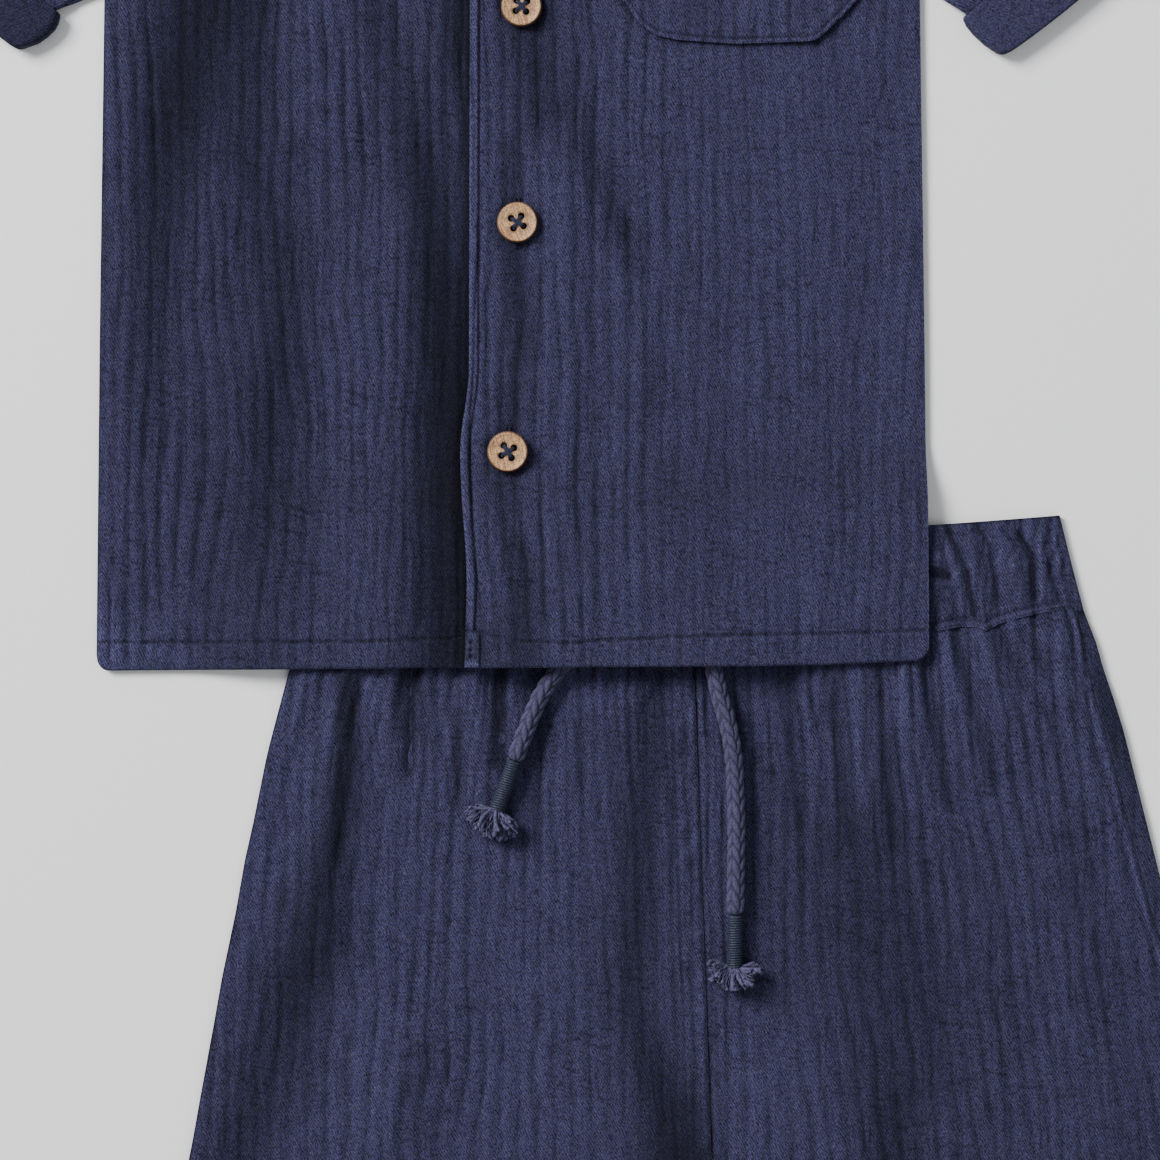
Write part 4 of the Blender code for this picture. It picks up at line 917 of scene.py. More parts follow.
def stitchTree():
    # Small rounded stitches laid end to end along edge lines.
    tree, given, out = newGroup("runningStitch", "GeometryNodeTree", [
        ("Geometry", "NodeSocketGeometry", None),
        ("Pitch", "NodeSocketFloat", 0.0029),
        ("Stitch Length", "NodeSocketFloat", 0.0022),
        ("Thread", "NodeSocketFloat", 0.00042),
        ("Seed", "NodeSocketInt", 3),
        ("Material", "NodeSocketMaterial", None),
    ], [("Geometry", "NodeSocketGeometry")])
    path = addNode(tree, "GeometryNodeMeshToCurve", {0: given.outputs["Geometry"]})
    points = addNode(tree, "GeometryNodeCurveToPoints", {"Curve": path.outputs[0], "Length": given.outputs["Pitch"]},
                     mode="LENGTH")
    bead = addNode(tree, "GeometryNodeMeshUVSphere", {"Segments": 6, "Rings": 5, "Radius": 0.5})
    size = addNode(tree, "ShaderNodeCombineXYZ", {0: given.outputs["Stitch Length"], 1: given.outputs["Thread"],
                                                  2: given.outputs["Thread"]})
    turn = addNode(tree, "FunctionNodeAlignRotationToVector", {"Vector": points.outputs["Tangent"]}, axis="X")
    jitter = addNode(tree, "FunctionNodeRandomValue", {"Min": (-0.04, -0.04, -0.05), "Max": (0.04, 0.04, 0.05),
                                                       "Seed": given.outputs["Seed"]}, data_type="FLOAT_VECTOR")
    turned = addNode(tree, "FunctionNodeRotateRotation", {0: turn.outputs[0], 1: jitter.outputs[0]})
    placed = addNode(tree, "GeometryNodeInstanceOnPoints", {
        "Points": points.outputs[0], "Instance": bead.outputs[0], "Rotation": turned.outputs[0], "Scale": size.outputs[0]})
    finishTree(tree, given, out, placed.outputs[0])
    return tree


def coilTree():
    # A wound thread: a spiral round +Z swept with a round section.
    tree, given, out = newGroup("woundCoil", "GeometryNodeTree", [
        ("Geometry", "NodeSocketGeometry", None),
        ("Turns", "NodeSocketFloat", 38.0),
        ("Radius", "NodeSocketFloat", 0.0026),
        ("Height", "NodeSocketFloat", 0.019),
        ("Thread", "NodeSocketFloat", 0.00028),
        ("Material", "NodeSocketMaterial", None),
    ], [("Geometry", "NodeSocketGeometry")])
    spiral = addNode(tree, "GeometryNodeCurveSpiral", {
        "Resolution": 22, "Rotations": given.outputs["Turns"], "Start Radius": given.outputs["Radius"],
        "End Radius": given.outputs["Radius"], "Height": given.outputs["Height"]})
    section = addNode(tree, "GeometryNodeCurvePrimitiveCircle", {"Resolution": 6, "Radius": given.outputs["Thread"]})
    swept = addNode(tree, "GeometryNodeCurveToMesh", {"Curve": spiral.outputs[0], "Profile Curve": section.outputs[0],
                                                      "Fill Caps": True})
    core = addNode(tree, "GeometryNodeMeshCylinder", {"Vertices": 20, "Side Segments": 1,
                                                      "Radius": given.outputs["Radius"], "Depth": given.outputs["Height"]})
    half = addNode(tree, "ShaderNodeCombineXYZ", {2: maths(tree, "MULTIPLY", given.outputs["Height"], 0.5)})
    raised = addNode(tree, "GeometryNodeTransform", {"Geometry": core.outputs[0], "Translation": half.outputs[0]})
    joined = addNode(tree, "GeometryNodeJoinGeometry")
    tree.links.new(swept.outputs[0], joined.inputs[0])
    tree.links.new(raised.outputs[0], joined.inputs[0])
    finishTree(tree, given, out, joined.outputs[0])
    return tree


def frayTree():
    # Frayed strands: curled hairs grown from a small disc, fanned out and flattened onto the cloth.
    tree, given, out = newGroup("frayedEnd", "GeometryNodeTree", [
        ("Geometry", "NodeSocketGeometry", None),
        ("Strands", "NodeSocketInt", 150),
        ("Length", "NodeSocketFloat", 0.011),
        ("Radius", "NodeSocketFloat", 0.0022),
        ("Thread", "NodeSocketFloat", 0.00017),
        ("Spread", "NodeSocketFloat", 1.0),
        ("Seed", "NodeSocketInt", 5),
        ("Material", "NodeSocketMaterial", None),
    ], [("Geometry", "NodeSocketGeometry")])
    strand = addNode(tree, "GeometryNodeCurvePrimitiveBezierSegment", {
        "Resolution": 8, "Start": (0, 0, 0), "Start Handle": (0.03, 0, 0.45), "End Handle": (0.36, 0.08, 0.70),
        "End": (0.16, 0.20, 0.94)})
    section = addNode(tree, "GeometryNodeCurvePrimitiveCircle", {"Resolution": 4, "Radius": 1.0})
    hair = maths(tree, "DIVIDE", given.outputs["Thread"], given.outputs["Length"])
    sectionScale = addNode(tree, "ShaderNodeCombineXYZ", {0: hair, 1: hair, 2: hair})
    thin = addNode(tree, "GeometryNodeTransform", {"Geometry": section.outputs[0], "Scale": sectionScale.outputs[0]})
    swept = addNode(tree, "GeometryNodeCurveToMesh", {"Curve": strand.outputs[0], "Profile Curve": thin.outputs[0],
                                                      "Fill Caps": True})
    count = addNode(tree, "GeometryNodePoints", {"Count": given.outputs["Strands"]})

    def randomOf(low, high, shift, kind="FLOAT"):
        seed = maths(tree, "ADD", given.outputs["Seed"], float(shift))
        node = addNode(tree, "FunctionNodeRandomValue", {"Seed": seed}, data_type=kind)
        if kind == "FLOAT":
            node.inputs[2].default_value, node.inputs[3].default_value = low, high
            return node.outputs[1]
        node.inputs[0].default_value, node.inputs[1].default_value = low, high
        return node.outputs[0]

    angle = randomOf(0.0, 2 * math.pi, 1)
    out01 = maths(tree, "SQRT", randomOf(0.0, 1.0, 2))
    rootX = maths(tree, "MULTIPLY", maths(tree, "MULTIPLY", out01, maths(tree, "COSINE", angle)), given.outputs["Radius"])
    rootY = maths(tree, "MULTIPLY", maths(tree, "MULTIPLY", out01, maths(tree, "SINE", angle)), given.outputs["Radius"])
    root = addNode(tree, "ShaderNodeCombineXYZ", {0: rootX, 1: rootY})
    moved = addNode(tree, "GeometryNodeSetPosition", {"Geometry": count.outputs[0], "Position": root.outputs[0]})
    # the fan opens across X; Y is up off the cloth and stays low
    tiltX = maths(tree, "MULTIPLY", maths(tree, "ADD", maths(tree, "COSINE", angle), randomOf(-0.9, 0.9, 3)), given.outputs["Spread"])
    tiltY = maths(tree, "MULTIPLY", randomOf(-0.5, 0.34, 4), 1.0)
    size = maths(tree, "MULTIPLY", given.outputs["Length"], randomOf(0.28, 1.0, 5))
    spin = addNode(tree, "ShaderNodeCombineXYZ", {2: randomOf(0.0, 6.28, 7)})
    flat = addNode(tree, "ShaderNodeCombineXYZ", {0: tiltY, 1: tiltX})
    turned = addNode(tree, "FunctionNodeRotateRotation", {0: flat.outputs[0], 1: spin.outputs[0]}, rotation_space="LOCAL")
    placed = addNode(tree, "GeometryNodeInstanceOnPoints", {
        "Points": moved.outputs[0], "Instance": swept.outputs[0], "Rotation": turned.outputs[0], "Scale": size})
    finishTree(tree, given, out, placed.outputs[0])
    return tree


stitches = stitchTree()
coil = coilTree()
fray = frayTree()


def placeOnCord(obj, start, direction):
    # Turns a piece made up +Z so that it follows the cord's end, its own Y pointing up.
    tangent = Vector(direction).normalized()
    side = tangent.cross(Vector((0, 0, 1))).normalized()
    upward = side.cross(tangent)
    coordinates = np.zeros(len(obj.data.vertices) * 3, np.float32)
    obj.data.vertices.foreach_get("co", coordinates)
    local = coordinates.reshape(-1, 3)
    base = np.array([(start[0] + originX) * mm, (start[1] + originY) * mm, start[2] * mm])
    placed = base + local[:, :1] * np.array(side) + local[:, 1:2] * np.array(upward) + local[:, 2:] * np.array(tangent)
    obj.data.vertices.foreach_set("co", placed.astype(np.float32).ravel())
    obj.data.update()


def makeDrawstring(side):
    made, line = makeCord(side)
    route = cordRoutes[side]
    end = np.array(route[-1])
    direction = (end - np.array(route[-2])) / np.linalg.norm(end - np.array(route[-2]))
    lowered = end - np.array([0, 0, (cord["diameter"] - whipping["diameter"]) / 2])
    radius = whipping["diameter"] / 2 - whipping["thread"] / 2
    wound = meshFromNodes("whippingThread_" + side, lineHost("host", [[(0, 0, 0), (1, 0, 0)]]), coil, {
        "Turns": whipping["length"] / whipping["turnPitch"], "Radius": radius * mm,
        "Height": whipping["length"] * mm, "Thread": whipping["thread"] / 2 * 1.1 * mm}, "whipping")
    placeOnCord(wound, lowered + direction * 0.3, direction)
    turnOutward(wound)
    frayed, fibres = [meshFromNodes(name + side, lineHost("host", [[(0, 0, 0), (1, 0, 0)]]), fray, {
        "Strands": count, "Length": tuft["lengths"][side] * mm, "Spread": tuft["spread"][side], "Thread": thick * mm,
        "Seed": seed + (0 if side == "left" else 4)}, "fray") for name, count, thick, seed in (
            ("frayedYarn_", tuft["yarns"], 0.80, 5), ("frayedFibres_", tuft["fibres"], 0.20, 23))]
    for part in (frayed, fibres):
        placeOnCord(part, lowered + direction * (whipping["length"] + 0.2), direction)
    dress(made, "cord", ["drawstring_" + side])
    dress(wound, "whipping", ["whipping_" + side])
    dress(frayed, "cord", ["tuft_" + side])
    dress(fibres, "cord")


for side in ("left", "right"):
    makeDrawstring(side)
print("stage 4: drawstring")


# Shirt body

def shirtCoordinates(x, y):
    return np.stack([x, y], -1)


def makeShirtBack():
    columns = spacedValues(-shirt["halfHem"], shirt["halfHem"], 2.6)
    rows = shirtRows(3.4)
    rows[0] = 1.6
    x, y = shirtGrid(columns, rows, shirt["backNeck"])
    mid = shirtLift(x, y) + groundMid
    made = clothPanel("shirtBackCloth", x, y, mid, np.zeros_like(x), flatUnder=True)
    dress(made, "gauze", ["shirt_back"])
    return made


buttonSpots = []
for number in (1, 2, 3, 4):
    middle = sum(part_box(f"button_{number}"), Vector()) / 2 / mm
    buttonSpots.append((middle.x - originX, middle.y - originY))


def edgeAt(y):
    # Where the over front's left edge lies.
    return shirt["placket"] * shirtHalfWidth(y) / shirt["halfHem"] + wanderAt(y)


pocket = dict(
    left=38.4, width=89.7, bottom=229.0, height=84.0, lift=0.35, stitchInset=1.9, topHem=12.0,
    outline=[(38.4, 247.5), (39.6, 245.6), (41.4, 243.4), (44.7, 238.6), (47.9, 234.6), (52.6, 231.6), (60, 230.0), (72.1, 229.1),
             (81.6, 228.5), (92.2, 228.8), (103.9, 229.1), (109.9, 229.4), (112.6, 230.6), (118.8, 236.5), (125.1, 243.0),
             (128.1, 246.4)],
)


def pocketOutline(inset):
    # The pocket's sides and bottom, drawn in from its edge.
    top = pocket["bottom"] + pocket["height"] - 0.8
    line = np.array([(pocket["left"], top), *pocket["outline"], (pocket["left"] + pocket["width"], top)])
    along = np.gradient(line, axis=0)
    along /= np.linalg.norm(along, axis=1)[:, None]
    along[0], along[-1] = (0, -1), (0, 1)
    inner = line + np.stack([-along[:, 1], along[:, 0]], -1) * inset
    inner[0, 1] = inner[-1, 1] = top
    return [tuple(point) for point in inner]


def frontRelief(x, y, over, seed):
    # Crinkle, hem and edge sewing raised on a front, and the painted shade and painted light on it: its seams, creases
    # and hollow bands, the lip, the buttons' rims and the pocket's edge.
    fromHem = y - readTable(shirt["hem"], x / shirt["halfHem"])
    hemDepth = readTable(shirt["hemOver"] if over else shirt["hemUnder"], x)
    relief = crinkle(x, y, seed) * smoothStep((fromHem - 2) / 8 + 0.6)
    relief *= 1 - 0.42 * smoothStep((x - 38) / 45) if over else 1.15
    shade = hemShade(fromHem, hemDepth, x, seed + 9) * crinkleShade(relief) * liftCounterShade(x, y)
    relief += foldsHeight(shirtCreases, x, y) * smoothStep((fromHem - 8) / 10)
    light, sunk = hollowShade(rightHollowShade if over else leftHollowShade, x, y)
    shade *= light
    relief += hemRelief(fromHem, hemDepth, x, seed + 9) - sunk * smoothStep((fromHem - 4) / 12)
    fromEdge = x - edgeAt(y)
    if over:
        aboveHem = smoothStep((fromHem - shirt["hemEnd"]["top"]) / 1.5 + 0.5)
        relief += 0.75 * smoothStep((shirt["lipWidth"] - fromEdge) / 1.0 + 0.5) * aboveHem
        relief -= 0.28 * groove(fromEdge - shirt["lipWidth"] - 0.3, 0.6) * aboveHem
        relief -= 0.20 * groove(x - shirt["facingLine"], 0.9)
        # painted shade in the groove beside the lip and along the facing line, painted light on the raised lip
        shade *= 1 - 0.22 * groove(fromEdge - shirt["lipWidth"] - 0.3, 0.6) * aboveHem
        shade *= 1 - 0.14 * groove(x - shirt["facingLine"], 0.8)
        shade *= 1 + 0.25 * smoothStep((shirt["lipWidth"] - fromEdge) / 1.0 + 0.5) * aboveHem
        for spot in buttonSpots:
            away = np.hypot(x - spot[0], y - spot[1])
            relief += 0.45 * groove(away - 9.6, 2.0)
            # painted shade round each button's rim
            shade *= 1 - 0.30 * groove(away - 8.0, 1.1)
        # painted shadow along the pocket's edge
        shade *= 1 - 0.42 * groove(routeDistance(x, y, pocketOutline(-0.4)), 1.0)
        hemEnd = shirt["hemEnd"]
        inBox = smoothStep((hemEnd["x"] - x) / 0.8 + 0.5) * (1 - aboveHem)
        relief += 0.65 * inBox - 0.3 * groove(x - hemEnd["x"] - 0.4, 0.5) * (1 - aboveHem)
        # painted light on the hem end's lower edge, painted shade in its groove and stitch holes
        shade *= 1 + 0.8 * inBox * smoothStep((2.8 - fromHem) / 1.2)
        shade *= 1 - 0.30 * groove(x - hemEnd["x"] - 0.3, 0.5) * (1 - aboveHem)
        for hole in (4.4, 6.6, 9.2):
            away = np.hypot(x - hemEnd["hole"], (fromHem - hole) / 1.2)
            relief -= 0.8 * groove(away, 0.6)
            shade *= 1 - 0.97 * groove(away, 0.68)
    else:
        gap = np.clip(-fromEdge, 0, None)
        # painted shade beside the lip, and over the whole under front
        shade *= 1 - 0.55 * groove(gap, 2.4) - 0.22 * smoothStep((24 - gap) / 20)
        relief -= 0.45 * groove(gap, 3.0)
        shade *= 0.88
    return relief, shade


def makeFront(name, node, low, high, over, seed):
    spots = [(shirt["placket"] + 2.2, 4.4, 0.42)] if over else [(shirt["placket"] - 2.5, 3.0, 0.6)]
    spots += [(shirt["facingLine"], 2.4, 0.5)] if over else []
    columns = spacedValues(low, high, 0.96, spots)
    rows = shirtRows(2.9, [(0.9, 0.9, 0.3), *([(5.4, 2.6, 0.4)] if over else []), (11.0, 3.6, 0.45)])
    x, y = shirtGrid(columns, rows, shirt["frontNeck"])
    mid = frontMid(x, y, over)
    relief, shade = frontRelief(x, y, over, seed)
    made = clothPanel(name, x, y, mid, relief, shade=shade)
    return dress(made, "gauze", [node])


def frontTop(x, y, over, seed):
    # Height of a front's finished surface, for what is sewn on it.
    x, y = np.asarray(x, float), np.asarray(y, float)
    return frontMid(x, y, over) + cloth["wall"] / 2 - 0.15 + frontRelief(x, y, over, seed)[0]


seeds = dict(under=11, over=31, shorts=51, sleeve=71, pocket=91, band=111)
shirtBack = makeShirtBack()
frontUnder = makeFront("frontUnderCloth", "shirt_front_under", -shirt["halfHem"], shirt["underEdge"], False, seeds["under"])
frontOver = makeFront("frontOverCloth", "shirt_front_over", shirt["placket"], shirt["halfHem"], True, seeds["over"])
print("stage 5: shirt body")


# Sleeves and cuffs

sleeveShape = dict(opening=108.0, cuffDepth=20.0, flare=1.6, inset=0.6, puff=3.0, armpitHalf=149.4)
sleeves = {
    "left": dict(side=-1, armpit=248.0, tipX=179.5, tipY=225.0, slope=40.0),
    "right": dict(side=1, armpit=250.7, tipX=178.6, tipY=223.3, slope=39.0),
}


def ringGrid(starts, ends, lowMid, topMid, lowCount, topCount, foldCount):
    # Flattened rings of cloth, one a row: (middle points, outward normals, top mask).
    rows = len(starts)
    span = np.linalg.norm(ends - starts, axis=1)[:, None]
    along = (ends - starts) / span
    rise = (topMid[:, :1] - lowMid[:, None]) / 2
    reach = cloth["wall"] / 2 + np.minimum(rise, 2.2)
    up = np.array([0.0, 0.0, 1.0])
    lowParts = np.linspace(0, 1, lowCount)[None, :]
    topParts = np.linspace(1, 0, topCount)[None, :]
    turn = (np.arange(1, foldCount) / foldCount)[None, :] * math.pi
    halfOut = reach - cloth["wall"] / 2

    def at(place, height):
        return starts[:, None] + along[:, None] * place[..., None] + up * height[..., None]

    lowPlace = reach + (span - 2 * reach) * lowParts
    topPlace = reach + (span - 2 * reach) * topParts
    endPlace = span - reach + halfOut * np.cos(turn - math.pi / 2)
    startPlace = reach + halfOut * np.cos(turn + math.pi / 2)
    middle = lowMid[:, None] + rise
    endHeight = middle + rise * np.sin(turn - math.pi / 2)
    startHeight = middle + rise * np.sin(turn + math.pi / 2)
    points = np.concatenate([at(lowPlace, np.repeat(lowMid[:, None], lowCount, 1)), at(endPlace, endHeight),
                             at(topPlace, topMid[:, ::-1]), at(startPlace, startHeight)], 1)
    flatDown = np.broadcast_to(-up, (rows, lowCount, 3))
    flatUp = np.broadcast_to(up, (rows, topCount, 3))
    endNormal = along[:, None] * np.cos(turn - math.pi / 2)[..., None] + up * np.sin(turn - math.pi / 2)[..., None]
    startNormal = along[:, None] * np.cos(turn + math.pi / 2)[..., None] + up * np.sin(turn + math.pi / 2)[..., None]
    normals = np.concatenate([flatDown, endNormal, flatUp, startNormal], 1)
    isTop = np.zeros(points.shape[:2])
    isTop[:, lowCount + foldCount - 1:lowCount + foldCount - 1 + topCount] = 1
    return points, normals, isTop


def sleeveFrame(shape):
    slope = math.radians(shape["slope"])
    opening = np.array([math.cos(slope) * shape["side"], math.sin(slope), 0.0])
    inward = np.array([-math.sin(slope) * shape["side"], math.cos(slope), 0.0])
    tip = np.array([shape["tipX"] * shape["side"], shape["tipY"], 0.0])
    return tip, opening, inward


def grainOf(points, opening, inward):
    return np.stack([points @ opening, points @ inward], -1)


def ringShell(name, points, normals, relief, grain, shade=None):
    half = cloth["wall"] / 2 - 0.12
    outer = points + normals * (half + relief)[..., None]
    inner = points - normals * (cloth["thickness"] - half)
    outer[..., 2] = np.maximum(outer[..., 2], 0.02)
    inner[..., 2] = np.maximum(inner[..., 2], 0.02)
    return shellObject(name, outer, inner, grain, closed=True, shade=shade)


def sleeveTop(low, puff, parts):
    return low[:, None] + layer + puff[:, None] * np.sin(math.pi * parts)[None, :] ** 1.5


def makeSleeve(key):
    shape = sleeves[key]
    tip, opening, inward = sleeveFrame(shape)
    armpit = np.array([(sleeveShape["armpitHalf"] + 0.3) * shape["side"], shape["armpit"], 0.0])
    shoulder = np.array([(shirt["halfShoulder"] + 0.3) * shape["side"], shirt["shoulder"], 0.0])
    inset = opening * sleeveShape["inset"]
    cuffStart = tip + inward * sleeveShape["cuffDepth"] + inset
    cuffEnd = tip + inward * sleeveShape["cuffDepth"] + opening * sleeveShape["opening"] - inset
    steps = np.linspace(0, 1, 66)
    starts = mix(armpit[None], cuffStart[None], steps[:, None])
    ends = mix(shoulder[None], cuffEnd[None], steps[:, None])
    low = groundMid + layer * smoothStep((steps - 0.55) / 0.35)
    puff = sleeveShape["puff"] * np.sin(math.pi * np.minimum(steps * 1.1, 1) * 0.85)
    insideSteps = np.linspace(0.2, 1, 6)[:, None]
    reach = inward * (sleeveShape["cuffDepth"] - 4)
    starts = np.concatenate([starts, cuffStart - reach * insideSteps])
    ends = np.concatenate([ends, cuffEnd - reach * insideSteps])
    low = np.concatenate([low, np.full(6, frontMidHeight)])
    puff = np.concatenate([puff, puff[-1] * (1 - insideSteps[:, 0])])
    parts = np.linspace(0, 1, 104)
    points, normals, isTop = ringGrid(starts, ends, low, sleeveTop(low, puff, parts), 40, 104, 8)
    # the grain runs down the sleeve, square to the opening
    grain = grainOf(points, opening, inward)
    relief = crinkle(grain[..., 0], grain[..., 1], seeds["sleeve"]) * isTop
    relief *= smoothStep(np.minimum(np.arange(len(starts)), 70 - np.arange(len(starts))) / 3 + 0.2)[:, None]
    made = ringShell("sleeveCloth_" + key, points, normals, relief, grain)
    dress(made, "gauze", ["sleeve_" + key])
    return made


# along the cuff's depth from the fold, how far its lower side stands out
cuffBulge = {
    "left": [(0, -0.4), (1.1, 0.1), (5.8, 1.7), (11, 2.6), (14.6, 2.6), (16.7, 2.0), (18.3, 1.1), (20, 0)],
    "right": [(0, -0.2), (3, 0.3), (8, 0.9), (13, 1.2), (17, 0.9), (20, -0.4)],
}
cuffCorner = dict(radius=5.0, fold={"left": 0.9, "right": 1.6})


def softenCuff(key, points, tip, opening, inward):
    # Rounds the cuff's lower corner and lets its lower side and its fold stand out a little.
    local = points - tip
    a, p = local @ opening, local @ inward
    lower = 1 - smoothStep(a / 30)
    side = readTable(cuffBulge[key], np.clip(p, 0, 20)) * lower
    fold = cuffCorner["fold"][key] * np.sin(math.pi * np.clip(a / 60, 0, 1)) ** 0.7 * (1 - smoothStep(p / 12))
    radius = cuffCorner["radius"]
    near = np.clip(1 - a / radius, 0, 1)
    rounded = radius * (1 - np.sqrt(1 - near ** 2)) * np.clip(1 - p / (radius * 1.4), 0, 1) * 0.92
    return points - opening * side[..., None] + inward * (rounded - fold)[..., None]


def makeCuff(key):
    shape = sleeves[key]
    tip, opening, inward = sleeveFrame(shape)
    depth, whole = sleeveShape["cuffDepth"], sleeveShape["opening"]
    # a return ply inside the sleeve's end, the rounded fold, then the turned-up ply
    inside = [(3.2, 1.9, 1.0), (1.6, 1.7, 0.95)]
    fold = [(0.75, 1.3, 0.8), (0.25, 0.75, 0.5), (0.0, 0.25, 0.25), (0.3, -0.15, 0.06)]
    outerPly = [(value, 0.0, 0.0) for value in np.concatenate([np.linspace(0.8, depth - 0.8, 17), [depth - 0.3, depth]])]
    rows = np.array(inside + fold + outerPly)
    places, insets, lifted = rows[:, 0], rows[:, 1], rows[:, 2]
    flare = sleeveShape["flare"] * places / depth * (lifted < 0.01)
    starts = tip + inward * places[:, None] + opening * (insets - flare)[:, None]
    ends = tip + inward * places[:, None] + opening * (whole - insets + flare)[:, None]
    low = groundMid + 1.35 * lifted
    top = frontMidHeight + 2 * layer + 0.6 - 1.6 * lifted
    bulge = 0.9 * smoothStep(places / depth) * (lifted < 0.01)
    parts = np.linspace(0, 1, 104)
    topMid = top[:, None] + bulge[:, None] * np.sin(math.pi * parts)[None, :]
    points, normals, isTop = ringGrid(starts, ends, low, topMid, 40, 104, 10)
    grain = grainOf(points, opening, inward)
    points = softenCuff(key, points, tip, opening, inward)
    wave = 0.22 * softNoise(grain[..., 0] / 13, grain[..., 1] / 9, 131) + 0.10 * softNoise(grain[..., 0] / 4, grain[..., 1] / 7, 132)
    rim = smoothStep((depth - places) / 0.9)[:, None] * 0.30 - 0.25
    edge = groove(places - (depth - 0.5), 0.8)[:, None] * 0.25
    relief = (wave * isTop + rim + edge) * (places > 0.8)[:, None] + 0.05
    # painted shade: the left cuff is darkened all over
    tone = np.full_like(relief, 0.55 if key == "left" else 1.0)
    made = ringShell("cuffCloth_" + key, points, normals, relief, grain, shade=tone)
    dress(made, "cuff_gauze", ["cuff_" + key])
    return made


sleevePieces = {key: makeSleeve(key) for key in sleeves}
cuffPieces = {key: makeCuff(key) for key in sleeves}
print("stage 6: sleeves")


# Collar

collar = dict(height=22.0, lean=6.0, ply=1.5)


def collarPath():
    # Seam points, heights and outward normals from the over front's edge round the neck to the under front's.
    up = np.array([0.0, 0.0, 1.0])
    seam, normals = [], []
    placketX = shirt["placket"] * shirt["halfShoulder"] / shirt["halfHem"]
    for x in np.linspace(placketX, shirt["neckHalf"], 56):
        shift = wanderAt(shirt["frontNeck"]) * max(0, 1 - abs(x / 0.9075 - shirt["placket"]) / 24)
        seam.append((x + shift, float(neckline(x, shirt["frontNeck"])) + 0.3, frontMidHeight + float(lapRise(x / 0.9075))))
        normals.append(up)
    for side in (1, -1):
        for turn in np.linspace(0, math.pi, 9)[1:-1]:
            angle = math.pi / 2 - turn if side == 1 else -math.pi / 2 - turn
            out = math.cos(angle)
            seam.append((shirt["neckHalf"] * side + out * layer / 2, shirt["neckTop"] + 0.3,
                         groundMid + layer / 2 + math.sin(angle) * layer / 2))
            normals.append(np.array([out, 0, math.sin(angle)]))
        if side == 1:
            for x in np.linspace(shirt["neckHalf"], -shirt["neckHalf"], 90):
                seam.append((x, float(neckline(x, shirt["backNeck"])) + 0.3, groundMid))
                normals.append(-up)
    underX = shirt["underEdge"] * shirt["halfShoulder"] / shirt["halfHem"]
    for x in np.linspace(-shirt["neckHalf"], underX, 56):
        seam.append((x, float(neckline(x, shirt["frontNeck"])) + 0.3, frontMidHeight))
        normals.append(up)
    return np.array(seam), np.array(normals)


def makeCollar():
    seam, normals = collarPath()
    across = spacedValues(0, collar["height"], 1.3, [(1.6, 1.2, 0.4), (collar["height"] - 1.6, 1.5, 0.4)])
    lean = -collar["lean"] * seam[:, 0] / shirt["neckHalf"]
    direction = np.stack([lean / collar["height"], np.ones(len(seam)), np.zeros(len(seam))], -1)
    points = seam[:, None] + direction[:, None] * across[None, :, None]
    alongSeam = np.concatenate([[0], np.cumsum(np.linalg.norm(np.diff(seam, axis=0), axis=1))])
    grain = np.stack(np.broadcast_arrays(alongSeam[:, None], across[None, :]), -1)
    near = np.minimum(across, collar["height"] - across)[None, :]
    ends = np.minimum(alongSeam, alongSeam[-1] - alongSeam)[:, None]
    near = np.minimum(near, ends)
    swell = 0.15 + 0.85 * np.sqrt(np.clip(1 - (1 - np.clip(near / 1.1, 0, 1)) ** 2, 0, 1))
    relief = 0.12 + crinkle(grain[..., 0], grain[..., 1] + 40, 141) * 0.6 - 0.28 * groove(near - 2.6, 0.5)
    half = cloth["wall"] / 2
    outward = normals[:, None] * np.ones((1, len(across), 1))
    isTop = (normals[:, 2] > 0.5)[:, None]
    outer = points + outward * ((half - 0.12 + relief * isTop) * swell)[..., None]
    inner = points - outward * ((half - 0.12) * swell)[..., None]
    outer[..., 2] = np.maximum(outer[..., 2], 0.02)
    made = shellObject("collarCloth", outer, inner, grain)
    dress(made, "gauze", ["collar"])
    return made


makeCollar()


# Chest pocket

def pocketGrid(parts, ups):
    part, up = np.meshgrid(parts, ups)
    x = pocket["left"] + pocket["width"] * part
    low = readTable(pocket["outline"], x)
    y = low + (pocket["bottom"] + pocket["height"] - low) * up
    return x, y


def pocketTop(x, y):
    x, y = np.asarray(x, float), np.asarray(y, float)
    base = frontMid(x, y, True) + layer + pocket["lift"] + cloth["wall"] / 2 - 0.15
    outline = pocketOutline(pocket["stitchInset"])
    away = routeDistance(x, y, outline)
    topEdge = pocket["bottom"] + pocket["height"] - y
    pucker = softNoise(x / 2.3, y / 2.3, 96) * groove(away, 3.0)
    relief = crinkle(x, y, seeds["pocket"]) - 0.30 * groove(away, 0.6) + 0.15 * pucker
    relief += hemRelief(topEdge, pocket["topHem"], x, 95) * smoothStep(topEdge / 1.0)
    return base + relief


